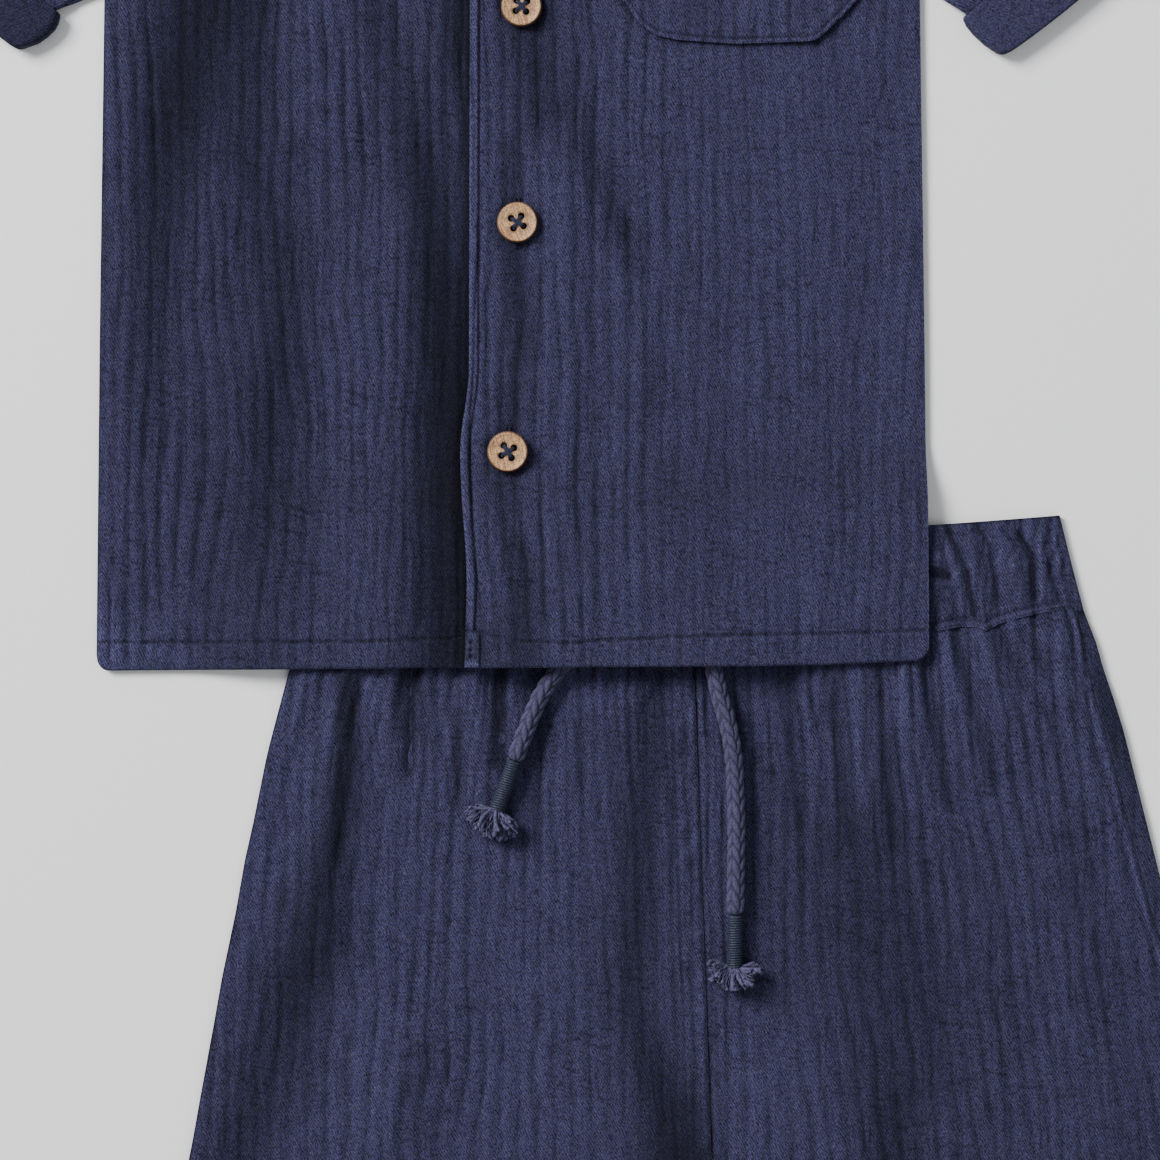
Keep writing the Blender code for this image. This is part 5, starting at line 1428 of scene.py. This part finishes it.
def makePocket():
    parts = spacedValues(0, 1, 0.0118, [(0.04, 0.04, 0.005), (0.96, 0.04, 0.005)])
    ups = spacedValues(0, 1, 0.026, [(0.024, 0.024, 0.005), (1 - pocket["topHem"] / pocket["height"], 0.02, 0.006)])
    x, y = pocketGrid(parts, ups)
    top = pocketTop(x, y)
    mid = frontMid(x, y, True) + layer + pocket["lift"]
    away = routeDistance(x, y, pocketOutline(pocket["stitchInset"]))
    fromTop = pocket["bottom"] + pocket["height"] - y
    # painted shade in the stitch line, crinkle valleys and top hem, painted light just inside the edge
    shade = (1 - 0.40 * groove(away, 0.6)) * crinkleShade(crinkle(x, y, seeds["pocket"]))
    shade *= (1 + 0.22 * groove(routeDistance(x, y, pocketOutline(0.8)), 0.6)) * hemShade(fromTop, pocket["topHem"], x, 95)
    made = clothPanel("pocketCloth", x, y, mid, top - mid - cloth["wall"] / 2 + 0.15, shade=shade)
    dress(made, "gauze", ["chest_pocket"])


makePocket()
print("stage 7: collar and pocket")


# Buttons

button = dict(radius=7.5, holeRadius=1.2, holeSpread=2.67, height=2.6, turn={1: 32, 2: 58, 3: 40, 4: 50}, rows=30, around=96)


def buttonHeight(radius):
    # Top surface from the middle out: a dished face, a raised lip and a rounded rim.
    table = [(0, 1.75), (4.6, 1.75), (5.3, 2.15), (5.9, 2.45), (6.6, 2.5), (7.1, 2.25), (7.4, 1.75), (7.5, 1.2)]
    return np.interp(radius, [row[0] for row in table], [row[1] for row in table])


def makeButton(number):
    import bmesh
    low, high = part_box(f"button_{number}")
    centre = (low + high) / 2
    profile = [(0.0, 2.12), (2.5, 2.12), (4.8, 2.14), (5.7, 2.18), (6.2, 2.3), (6.55, 2.44), (6.85, 2.46), (7.1, 2.3),
               (7.3, 2.0), (7.45, 1.6), (7.5, 1.2), (7.42, 0.8), (7.15, 0.4), (6.6, 0.12), (5.8, 0.0), (0.0, 0.0)]
    bm = bmesh.new()
    verts = [bm.verts.new((radius * mm, 0, height * mm)) for radius, height in profile]
    edges = [bm.edges.new(pair) for pair in zip(verts, verts[1:])]
    bmesh.ops.spin(bm, geom=[*verts, *edges], cent=(0, 0, 0), axis=(0, 0, 1), angle=2 * math.pi, steps=72)
    bmesh.ops.remove_doubles(bm, verts=bm.verts, dist=0.00001)
    bmesh.ops.recalc_face_normals(bm, faces=bm.faces)
    mesh = bpy.data.meshes.new(f"woodButton_{number}")
    bm.to_mesh(mesh)
    bm.free()
    made = bpy.data.objects.new(f"woodButton_{number}", mesh)
    bpy.context.scene.collection.objects.link(made)
    turn = math.radians(button["turn"][number])
    cutters = bmesh.new()
    for i in range(4):
        angle = turn + math.pi / 2 * i
        ring = bmesh.ops.create_cone(cutters, cap_ends=True, segments=24, radius1=button["holeRadius"] * mm,
                                     radius2=button["holeRadius"] * mm, depth=0.01)
        bmesh.ops.translate(cutters, verts=ring["verts"], vec=(math.cos(angle) * button["holeSpread"] * mm,
                                                               math.sin(angle) * button["holeSpread"] * mm, 0))
    cutterMesh = bpy.data.meshes.new("holes")
    cutters.to_mesh(cutterMesh)
    cutters.free()
    cutter = bpy.data.objects.new("holes", cutterMesh)
    bpy.context.scene.collection.objects.link(cutter)
    cut = made.modifiers.new("holes", "BOOLEAN")
    cut.object = cutter
    softened = made.modifiers.new("softened", "BEVEL")
    softened.width = 0.00016
    softened.segments = 2
    softened.limit_method = "ANGLE"
    softened.angle_limit = math.radians(50)
    graph = bpy.context.evaluated_depsgraph_get()
    graph.update()
    finished = bpy.data.meshes.new_from_object(made.evaluated_get(graph))
    bpy.data.objects.remove(cutter)
    made.modifiers.clear()
    made.data = finished
    coordinates = np.zeros(len(finished.vertices) * 3, np.float32)
    finished.vertices.foreach_get("co", coordinates)
    local = coordinates.reshape(-1, 3)
    radius = np.hypot(local[:, 0], local[:, 1]) / mm
    holes = [np.hypot(local[:, 0] / mm - math.cos(turn + math.pi / 2 * i) * button["holeSpread"],
                      local[:, 1] / mm - math.sin(turn + math.pi / 2 * i) * button["holeSpread"]) for i in range(4)]
    # painted shade round the holes; the rim is darker all round, partly the shell's own edge and partly painted shade,
    # strongest at the lower right
    holeEdgeShade = np.clip((button["holeRadius"] + 0.22 - np.minimum.reduce(holes)) / 0.2, 0, 1)
    byRim = np.clip((radius - 6.75) / 0.3, 0, 1) * (0.86 + 0.14 * np.sin(np.arctan2(local[:, 1], local[:, 0]) * 1.0 + 2.6))
    rim = finished.attributes.new("rim", "FLOAT", "POINT")
    rim.data.foreach_set("value", np.clip(byRim + holeEdgeShade * 0.7, 0, 1).astype(np.float32))
    loops = np.zeros(len(finished.loops), np.int32)
    finished.loops.foreach_get("vertex_index", loops)
    grainTurn = turn * 0.35
    gx = local[:, 0] * math.cos(grainTurn) + local[:, 1] * math.sin(grainTurn) + number * 0.031
    gy = local[:, 1] * math.cos(grainTurn) - local[:, 0] * math.sin(grainTurn) + number * 0.017
    grain = finished.uv_layers.new(name="grain")
    grain.data.foreach_set("uv", np.stack([gx, gy], -1)[loops].astype(np.float32).ravel())
    placed = local + np.array([centre.x, centre.y, low.z])
    finished.vertices.foreach_set("co", placed.astype(np.float32).ravel())
    finished.update()
    finished.shade_smooth()
    finished.set_sharp_from_angle(angle=math.radians(45))
    dress(made, "coconut_wood", [f"button_{number}"])
    makeButtonThread(number, centre, low.z, turn)
    return centre


def tubeAlong(line, radius, sides=8):
    line = np.array(line, float)
    tangent = np.gradient(line, axis=0)
    tangent /= np.linalg.norm(tangent, axis=1)[:, None]
    helper = np.where(np.abs(tangent[:, 2:]) > 0.9, [[1.0, 0.0, 0.0]], [[0.0, 0.0, 1.0]])
    side = np.cross(tangent, helper)
    side /= np.linalg.norm(side, axis=1)[:, None]
    up = np.cross(side, tangent)
    angle = np.arange(sides) / sides * 2 * math.pi
    ring = side[:, None] * np.cos(angle)[None, :, None] + up[:, None] * np.sin(angle)[None, :, None]
    points = line[:, None] + ring * radius
    quads = gridQuads(len(line), sides, 0, True, False)
    return points.reshape(-1, 3), quads


def joinTubes(name, tubes):
    points, quads, start = [], [], 0
    for part, faces in tubes:
        points.append(part)
        quads.append(faces + start)
        start += len(part)
    made = meshFromArrays(name, np.concatenate(points), np.concatenate(quads))
    closeTubes(made)
    turnOutward(made)
    return made


def closeTubes(obj):
    import bmesh
    bm = bmesh.new()
    bm.from_mesh(obj.data)
    bmesh.ops.holes_fill(bm, edges=[edge for edge in bm.edges if edge.is_boundary], sides=0)
    bm.to_mesh(obj.data)
    bm.free()


def makeButtonThread(number, centre, bottom, turn):
    # Two crossed bundles of thread from hole to hole, each of three passes.
    cx, cy, base = centre.x / mm - originX, centre.y / mm - originY, bottom / mm
    tubes = []
    for i in range(2):
        angle = turn + math.pi / 2 * i
        along = np.array([math.cos(angle), math.sin(angle)])
        aside = np.array([-along[1], along[0]])
        for k in range(3):
            shift = (k - 1) * 0.5
            line = []
            for t in np.linspace(-1, 1, 15):
                reach = t * (button["holeSpread"] + 0.15)
                drop = 1.9 * smoothStep((abs(t) - 0.72) / 0.28)
                height = base + 2.32 + 0.28 * i + 0.12 * math.cos(t * math.pi / 2) - drop + (0.1 if k == 1 else 0)
                bowed = shift * (1 - 0.35 * abs(t))
                line.append((cx + along[0] * reach + aside[0] * bowed, cy + along[1] * reach + aside[1] * bowed, height))
            tubes.append(tubeAlong(line, 0.33))
    dress(joinTubes(f"buttonThread_{number}", tubes), "gauze", look="button_thread")


buttonCentres = {number: makeButton(number) for number in (1, 2, 3, 4)}
print("stage 8: buttons")


# Shorts

def rolledIn(inset, row):
    # The strip turned over the side seam starts narrow below the waistband.
    return np.minimum(inset, 1.5) + np.maximum(inset - 1.5, 0) * (0.35 + 0.65 * smoothStep(row / 0.14))


def shortsGrid(side, parts, rows, inset=0.0, start=0.3):
    # x, y, lattice part, across and below of a leg panel, from the centre seam out.
    row, part = np.meshgrid(rows, parts, indexing="ij")
    hemAt = mix(shorts["innerHem"], shorts["outerHem"], 1.0)
    topAt = casingSeam(shorts["seamHalf"]) + 0.3
    widthAt = legEdge(mix(topAt, hemAt, row), side)
    kept = part * (1 - rolledIn(inset, row) / widthAt)
    top = casingSeam(shorts["seamHalf"] * kept) + start
    hem = mix(shorts["innerHem"], shorts["outerHem"], kept)
    below = mix(top, hem, row)
    inner = shorts["halfGap"] + shorts["innerHemOut"] * np.clip((below - shorts["crotch"]) / (
        shorts["innerHem"] - shorts["crotch"]), 0, None)
    across = mix(inner, legEdge(below, side), kept) * side
    x, y = fromShorts(across, drifted(across, below))
    return x, y, part, across, below, hem


def gatherWave(part):
    return (1 - np.cos(2 * math.pi * shorts["gathers"] * part)) / 2


def shortsMid(part, across, below, x, y):
    depth = below - casingSeam(across)
    gathered = shorts["gatherHeight"] * gatherWave(part) * (1 - smoothStep(depth / shorts["gatherFade"]))
    edges = smoothStep((1 - part) * 8) * smoothStep(part * 8)
    gain = 1 + 0.5 * smoothStep((below - 66) / 20)
    waves = gathered * calmCentre(across) + foldsHeight(shortsFolds, across, below) * edges * gain
    return frontMidHeight + waves * unpressed(x, y)


def fineGathers(part, depth, side):
    # Small uneven pleats below the casing seam that run down and fade.
    warp = part * 30 + 1.3 * softNoise(part * 9, depth / 80, 151 + side) + 0.3 * softNoise(part * 24, depth / 30, 152 + side)
    pleat = np.abs(np.sin(math.pi * warp)) ** 0.8 - 0.6
    reach = 0.5 + 0.5 * softNoise(part * 13, depth * 0 + 3.3, 153 + side)
    fade = np.exp(-np.clip(depth, 0, None) / (34 + 60 * reach))
    return 0.85 * pleat * fade


def shortsRelief(part, across, below, hem, side):
    # Crinkle, gathers, hem and seams raised on a leg's front, and the painted shade and painted light on it in its
    # seams, creases, pleats and hollow bands.
    seed = seeds["shorts"] + side
    depth = below - casingSeam(across)
    fromHem = hem - below
    relief = crinkle(across - 0.12 * across * depth / 240, below, seed)
    light, sunk = hollowShade(legHollowShade, *fromShorts(across, below))
    gathers = fineGathers(part, depth, side) * smoothStep(depth / 2 + 0.3)
    pleats = foldsHeight(panelCreases, across, depth)
    shade = hemShade(fromHem, shorts["hemDepth"], across, seed + 7) * crinkleShade(relief) * light
    relief += gathers + pleats + hemRelief(fromHem, shorts["hemDepth"], across, seed + 7) - sunk
    relief -= 0.35 * groove(depth - 0.2, 1.0)
    # painted shade below the casing seam and in the valleys of the pleats and gathers, painted light on their crests
    shade *= 1 - 0.28 * groove(depth - 0.3, 1.0)
    shade *= np.clip(1 + 0.32 * pleats + 0.24 * gathers, 0.4, 1.12)
    aboveCrotch = smoothStep((shorts["crotch"] + 4 - below) / 8)
    # painted shade along the centre seam
    shade *= 1 - 0.6 * groove(across, 0.8) * aboveCrotch
    relief -= 0.35 * groove(across, 1.0) * aboveCrotch
    if side < 0:
        fromFell = across + shorts["felledWidth"]
        relief += 0.34 * smoothStep(fromFell / 0.8 + 0.5) * aboveCrotch - 0.38 * groove(fromFell, 0.6) * aboveCrotch
        pucker = softNoise(below / 1.7 + across / 2.6, across / 8, seed + 8) * groove(across + 4, 5) * aboveCrotch
        relief += 0.5 * pucker
        # painted light and painted shade on the puckers, painted shade in the fell's groove
        shade *= 1 + 0.2 * pucker
        shade *= 1 - 0.35 * groove(fromFell, 0.6) * aboveCrotch
    else:
        relief += 0.30 * groove(across - 2.2, 1.6) * aboveCrotch
        strip = legEdge(below, side) - rolledIn(shorts["roll"], depth / 245) - np.abs(across)
        double = groove(depth - 36, 22)
        relief += 0.9 * groove(strip - 1.7, 1.0) + 0.5 * groove(strip - 4.4, 1.0) * double
        # painted shade on the strip over the side seam, painted light beside its ridge
        shade *= (1 - 0.5 * groove(strip, 0.9)) * (1 + 0.3 * groove(strip - 2.2, 0.9))
        shade *= 1 - 0.35 * groove(strip - 4.0 - 2.2 * double, 1.0)
    return relief, shade


def makeShortsFront(side, key, rolled):
    parts = spacedValues(0, 1, 0.0062, [(0.028, 0.036, 0.0034)])
    hemPart = 1 - shorts["hemDepth"] / 245
    rows = spacedValues(0, 1, 0.0098, [(0.012, 0.012, 0.0024), (hemPart, 0.011, 0.0024), (0.996, 0.004, 0.0014)])
    inset = (shorts["roll"] + 0.1) if rolled else 0.0
    x, y, part, across, below, hem = shortsGrid(side, parts, rows, inset, -0.7)
    mid = shortsMid(part, across, below, x, y)
    grain = np.stack([across, -below], -1)
    relief, shade = shortsRelief(part, across, below, hem, side)
    limit = mix(0.42, 5.0, unpressed(x, y))
    sewn = ("first", "end") if rolled else ("first",)
    near = borderDistance(x, y, sewn)
    seamed = borderDistance(x, y, (*sewn, "start"))
    near = np.where(below < shorts["crotch"], seamed, near)
    made = clothPanel("shortsFrontCloth_" + key, x, y, mid, np.minimum(relief, limit), uv=grain, near=near, shade=shade)
    dress(made, "gauze", ["shorts_front_" + key])
    return made


def makeShortsBack(side, key, rolled):
    parts = spacedValues(0, 1, 0.018)
    rows = spacedValues(0, 1, 0.016)
    inset = (cloth["wall"] + layer) / 2 if rolled else 0.0
    x, y, part, across, below, hem = shortsGrid(side, parts, rows, inset, 0.0)
    points = np.stack([x, y, np.full_like(x, groundMid)], -1)
    normals = np.broadcast_to(np.array([0.0, 0.0, -1.0]), points.shape).copy()
    raised = np.zeros_like(x)
    if rolled:
        points, normals, raised = rolledEdge(side, rows, points, normals, raised)
    across2, below2 = toShorts(points[..., 0], points[..., 1])
    grain = np.stack([across2, -below2], -1)
    half = cloth["wall"] / 2 - 0.12
    relief = crinkle(across2, below2, 57) * 0.6 * raised
    outer = points + normals * (half + relief)[..., None]
    inner = points - normals * half
    outer[..., 2] = np.maximum(outer[..., 2], 0.02)
    # painted shade on the turned strip, darkest a little below the waistband
    row = (below2 - shorts["seam"]) / 245
    shade = 1 - raised * (0.12 + 0.38 * groove(row - 0.16, 0.09))
    made = shellObject("shortsBackCloth_" + key, outer, inner, grain, shade=shade)
    dress(made, "gauze", ["shorts_back_" + key])
    return made


def rolledEdge(side, rows, points, normals, raised):
    # Adds the turn over the side seam and the narrow strip on the front.
    up = np.array([0.0, 0.0, 1.0])
    outward = np.array([math.cos(shorts["turn"]) * side, math.sin(shorts["turn"]) * side, 0.0])
    newPoints, newNormals, newRaised = [points], [normals], [raised]
    inset = (cloth["wall"] + layer) / 2
    for angle in np.linspace(-math.pi / 2, math.pi / 2, 9)[1:-1]:
        reach = inset - math.cos(angle) * layer / 2
        x, y = shortsGrid(side, np.array([1.0]), rows, reach, 0.0)[:2]
        height = np.full_like(x, groundMid + layer / 2 + math.sin(angle) * layer / 2)
        newPoints.append(np.stack([x, y, height], -1))
        newNormals.append(np.broadcast_to(outward * math.cos(angle) + up * math.sin(angle), (len(rows), 1, 3)))
        newRaised.append(np.full_like(x, max(0.0, math.sin(angle))))
    for reach in np.linspace(inset, shorts["roll"], 14):
        x, y = shortsGrid(side, np.array([1.0]), rows, reach, 0.0)[:2]
        part = (reach - inset) / (shorts["roll"] - inset)
        height = np.full_like(x, frontMidHeight - 0.1 + 0.55 * part)
        newPoints.append(np.stack([x, y, height], -1))
        newNormals.append(np.broadcast_to(up, (len(rows), 1, 3)))
        newRaised.append(np.full_like(x, 1.0 - 0.7 * smoothStep((part - 0.75) / 0.2)))
    return np.concatenate(newPoints, 1), np.concatenate(newNormals, 1), np.concatenate(newRaised, 1)


shortsBacks = [makeShortsBack(-1, "left", False), makeShortsBack(1, "right", True)]
shortsFronts = [makeShortsFront(-1, "left", False), makeShortsFront(1, "right", True)]


def makeWaistband():
    downs = np.concatenate([np.linspace(0, 0.86, 24), np.linspace(0.88, 1, 9)])
    half = mix(shorts["waistHalf"] + 1.1, shorts["seamHalf"], downs)
    starts = np.stack([-half, np.zeros_like(half), np.zeros_like(half)], -1)
    ends = -starts
    parts = np.linspace(0, 1, 480)
    across = half[:, None] * (2 * parts - 1)[None, :]
    below = mix(waistEdge(across), casingSeam(across), downs[:, None])
    x, y = fromShorts(across, below)
    ease = smoothStep(np.minimum(parts, 1 - parts) * 14)[None, :] * calmCentre(across) * unpressed(x, y)
    wave = shorts["gatherHeight"] * gatherWave(2 * parts)[None, :]
    puff = shorts["bandPuff"] * np.sin(math.pi * downs)[:, None]
    topMid = frontMidHeight + (wave + puff) * ease
    low = np.full_like(half, groundMid)
    points, normals, isTop = ringGrid(starts, ends, low, topMid, 90, 480, 8)
    local = points.copy()
    down = np.broadcast_to(downs[:, None], local.shape[:2])
    depth = mix(waistEdge(local[..., 0]), casingSeam(local[..., 0]), down)
    depth = depth + 0.3 * isTop * (down > 0.995)
    placedX, placedY = fromShorts(local[..., 0], drifted(local[..., 0], depth))
    points[..., 0], points[..., 1] = placedX, placedY
    turnCos, turnSin = math.cos(shorts["turn"]), math.sin(shorts["turn"])
    turned = normals.copy()
    turned[..., 0], turned[..., 1] = normals[..., 0] * turnCos, normals[..., 0] * turnSin
    # leaning, pinched gathers between the waist edge and the casing seam
    warp = local[..., 0] / 5.4 + 0.5 * down + 1.1 * softNoise(local[..., 0] / 16, down * 1.4, 161)
    pinch = np.abs(np.sin(math.pi * warp)) ** 0.8 - 0.6
    pleats = 0.6 * pinch * (0.55 + 0.45 * softNoise(local[..., 0] / 9, down * 2.2, 162))
    relief = pleats + crinkle(local[..., 0], depth, 163) * 0.5
    creases = foldsHeight(bandCreases, local[..., 0], depth - waistEdge(local[..., 0]))
    relief += creases
    fromSeam = (1 - down) * 36
    ridge = 0.65 * groove(fromSeam - 0.9, 0.8) - 0.30 * groove(fromSeam - 2.6, 0.8)
    edge = 0.3 * groove(down * 36 - 1.0, 1.2)
    # painted shade in the creases, pleats and crinkle valleys and below the seam ridge, painted light on their crests
    shade = np.clip(1 + 0.55 * creases, 0.28, 1.15) * np.clip(1 + 0.75 * pleats, 0.5, 1.12)
    shade *= crinkleShade(relief - pleats - creases) * (1 - 0.30 * groove(fromSeam - 2.6, 0.7))
    limit = mix(0.35, 5.0, unpressed(points[..., 0], points[..., 1]) * calmCentre(local[..., 0]))
    relief = np.minimum((relief + ridge + edge), limit) * isTop
    grain = np.stack([local[..., 0], -depth], -1)
    made = ringShell("waistbandCloth", points, turned, relief, grain, shade=mix(1, shade, isTop))
    dress(made, "gauze", ["waistband"])
    return made


makeWaistband()


def makeEyelet(side):
    # A worked buttonhole edge: thread wound over a small ring.
    low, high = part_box("eyelet_" + side)
    centre = (low + high) / 2
    cx, cy, cz = centre.x / mm - originX, centre.y / mm - originY, centre.z / mm
    tubes = []
    turns = 44
    for i in range(turns):
        angle = 2 * math.pi * i / turns
        line = [(cx + math.cos(angle) * r, cy + math.sin(angle) * r, cz + h)
                for r, h in ((3.95, -0.12), (4.1, 0.10), (4.65, 0.16), (5.2, 0.10), (5.35, -0.12))]
        tubes.append(tubeAlong(line, 0.28, 6))
    ring = [(cx + math.cos(a) * 4.65, cy + math.sin(a) * 4.65, cz - 0.05) for a in np.linspace(0, 2 * math.pi, 41)]
    tubes.append(tubeAlong(ring, 0.24, 8))
    dress(joinTubes("workedEyelet_" + side, tubes), "whipping", ["eyelet_" + side])


for side in ("left", "right"):
    makeEyelet(side)
print("stage 9: shorts")


# Sewing

def sewn(name, lines, pitch=2.9, length=2.1, thread=0.42, seed=3):
    made = meshFromNodes(name, lineHost("host", lines), stitches, {
        "Pitch": pitch * mm, "Stitch Length": length * mm, "Thread": thread * mm, "Seed": seed}, "thread")
    dress(made, "gauze")
    return made


def frontLine(x, y, over, seed, sunk=0.1):
    return list(zip(x, y, frontTop(x, y, over, seed) - sunk))


def sewShirt():
    under, over = seeds["under"], seeds["over"]
    xUnder = np.linspace(-150, -18.6, 120)
    xOver = np.linspace(-13.5, 150, 150)
    lines = []
    for x, depths, isOver, seed in ((xUnder, shirt["hemUnder"], False, under), (xOver, shirt["hemOver"], True, over)):
        y = readTable(shirt["hem"], x / shirt["halfHem"]) + readTable(depths, x)
        lines.append(frontLine(x, y, isOver, seed))
    yEdge = np.linspace(15, 322, 240)
    edge = edgeAt(yEdge) + shirt["lipWidth"] + 0.3
    lines.append(frontLine(edge, yEdge, True, over))
    sewn("stitches_shirt", lines)
    outline = pocketOutline(pocket["stitchInset"])
    points = []
    for a, b in zip(outline, outline[1:]):
        count = max(2, int(math.dist(a, b) / 1.5))
        points += [(mix(a[0], b[0], i / count), mix(a[1], b[1], i / count)) for i in range(count)]
    px, py = np.array([p[0] for p in points]), np.array([p[1] for p in points])
    topY = np.full(60, pocket["bottom"] + pocket["height"] - pocket["topHem"])
    topX = np.linspace(pocket["left"] + 2.2, pocket["left"] + pocket["width"] - 2.2, 60)
    sewn("stitches_pocket", [list(zip(px, py, pocketTop(px, py) - 0.1)), list(zip(topX, topY, pocketTop(topX, topY) - 0.1))])


def sewButtonholes():
    # Close bars of thread on each side of the slit under every button.
    lines = []
    for number, centre in buttonCentres.items():
        cx, cy = centre.x / mm - originX, centre.y / mm - originY
        for shift in (-0.75, 0.75):
            yLine = np.linspace(cy - 9.1, cy + 9.1, 46)
            xLine = np.full_like(yLine, cx + shift)
            lines.append(list(zip(xLine, yLine, frontTop(xLine, yLine, True, seeds["over"]) + 0.02)))
    sewn("stitches_buttonholes", lines, pitch=0.45, length=0.5, thread=0.9)


def shortsSurface(across, below, side):
    x, y = fromShorts(across, below)
    part = np.abs(across) / legEdge(below, side)
    hem = mix(shorts["innerHem"], shorts["outerHem"], part)
    relief = np.minimum(shortsRelief(part, across, below, hem, side)[0], mix(0.42, 5.0, unpressed(x, y)))
    return x, y, shortsMid(part, across, below, x, y) + cloth["wall"] / 2 - 0.15 + relief


def sewShorts():
    lines = []
    for side in (-1, 1):
        partLine = np.linspace(0.06, 0.955 if side > 0 else 0.985, 130)
        below = mix(shorts["innerHem"], shorts["outerHem"], partLine) - shorts["hemDepth"]
        across = partLine * legEdge(below, side) * side
        x, y, z = shortsSurface(across, below, side)
        lines.append(list(zip(x, y, z - 0.08)))
    below = np.linspace(50, shorts["crotch"] - 4, 150)
    across = np.full_like(below, -shorts["felledWidth"])
    x, y, z = shortsSurface(across, below, -1)
    lines.append(list(zip(x, y, z - 0.08)))
    sewn("stitches_shorts", lines, seed=4)


sewShirt()
sewButtonholes()
sewShorts()
print("stage 10: sewing")
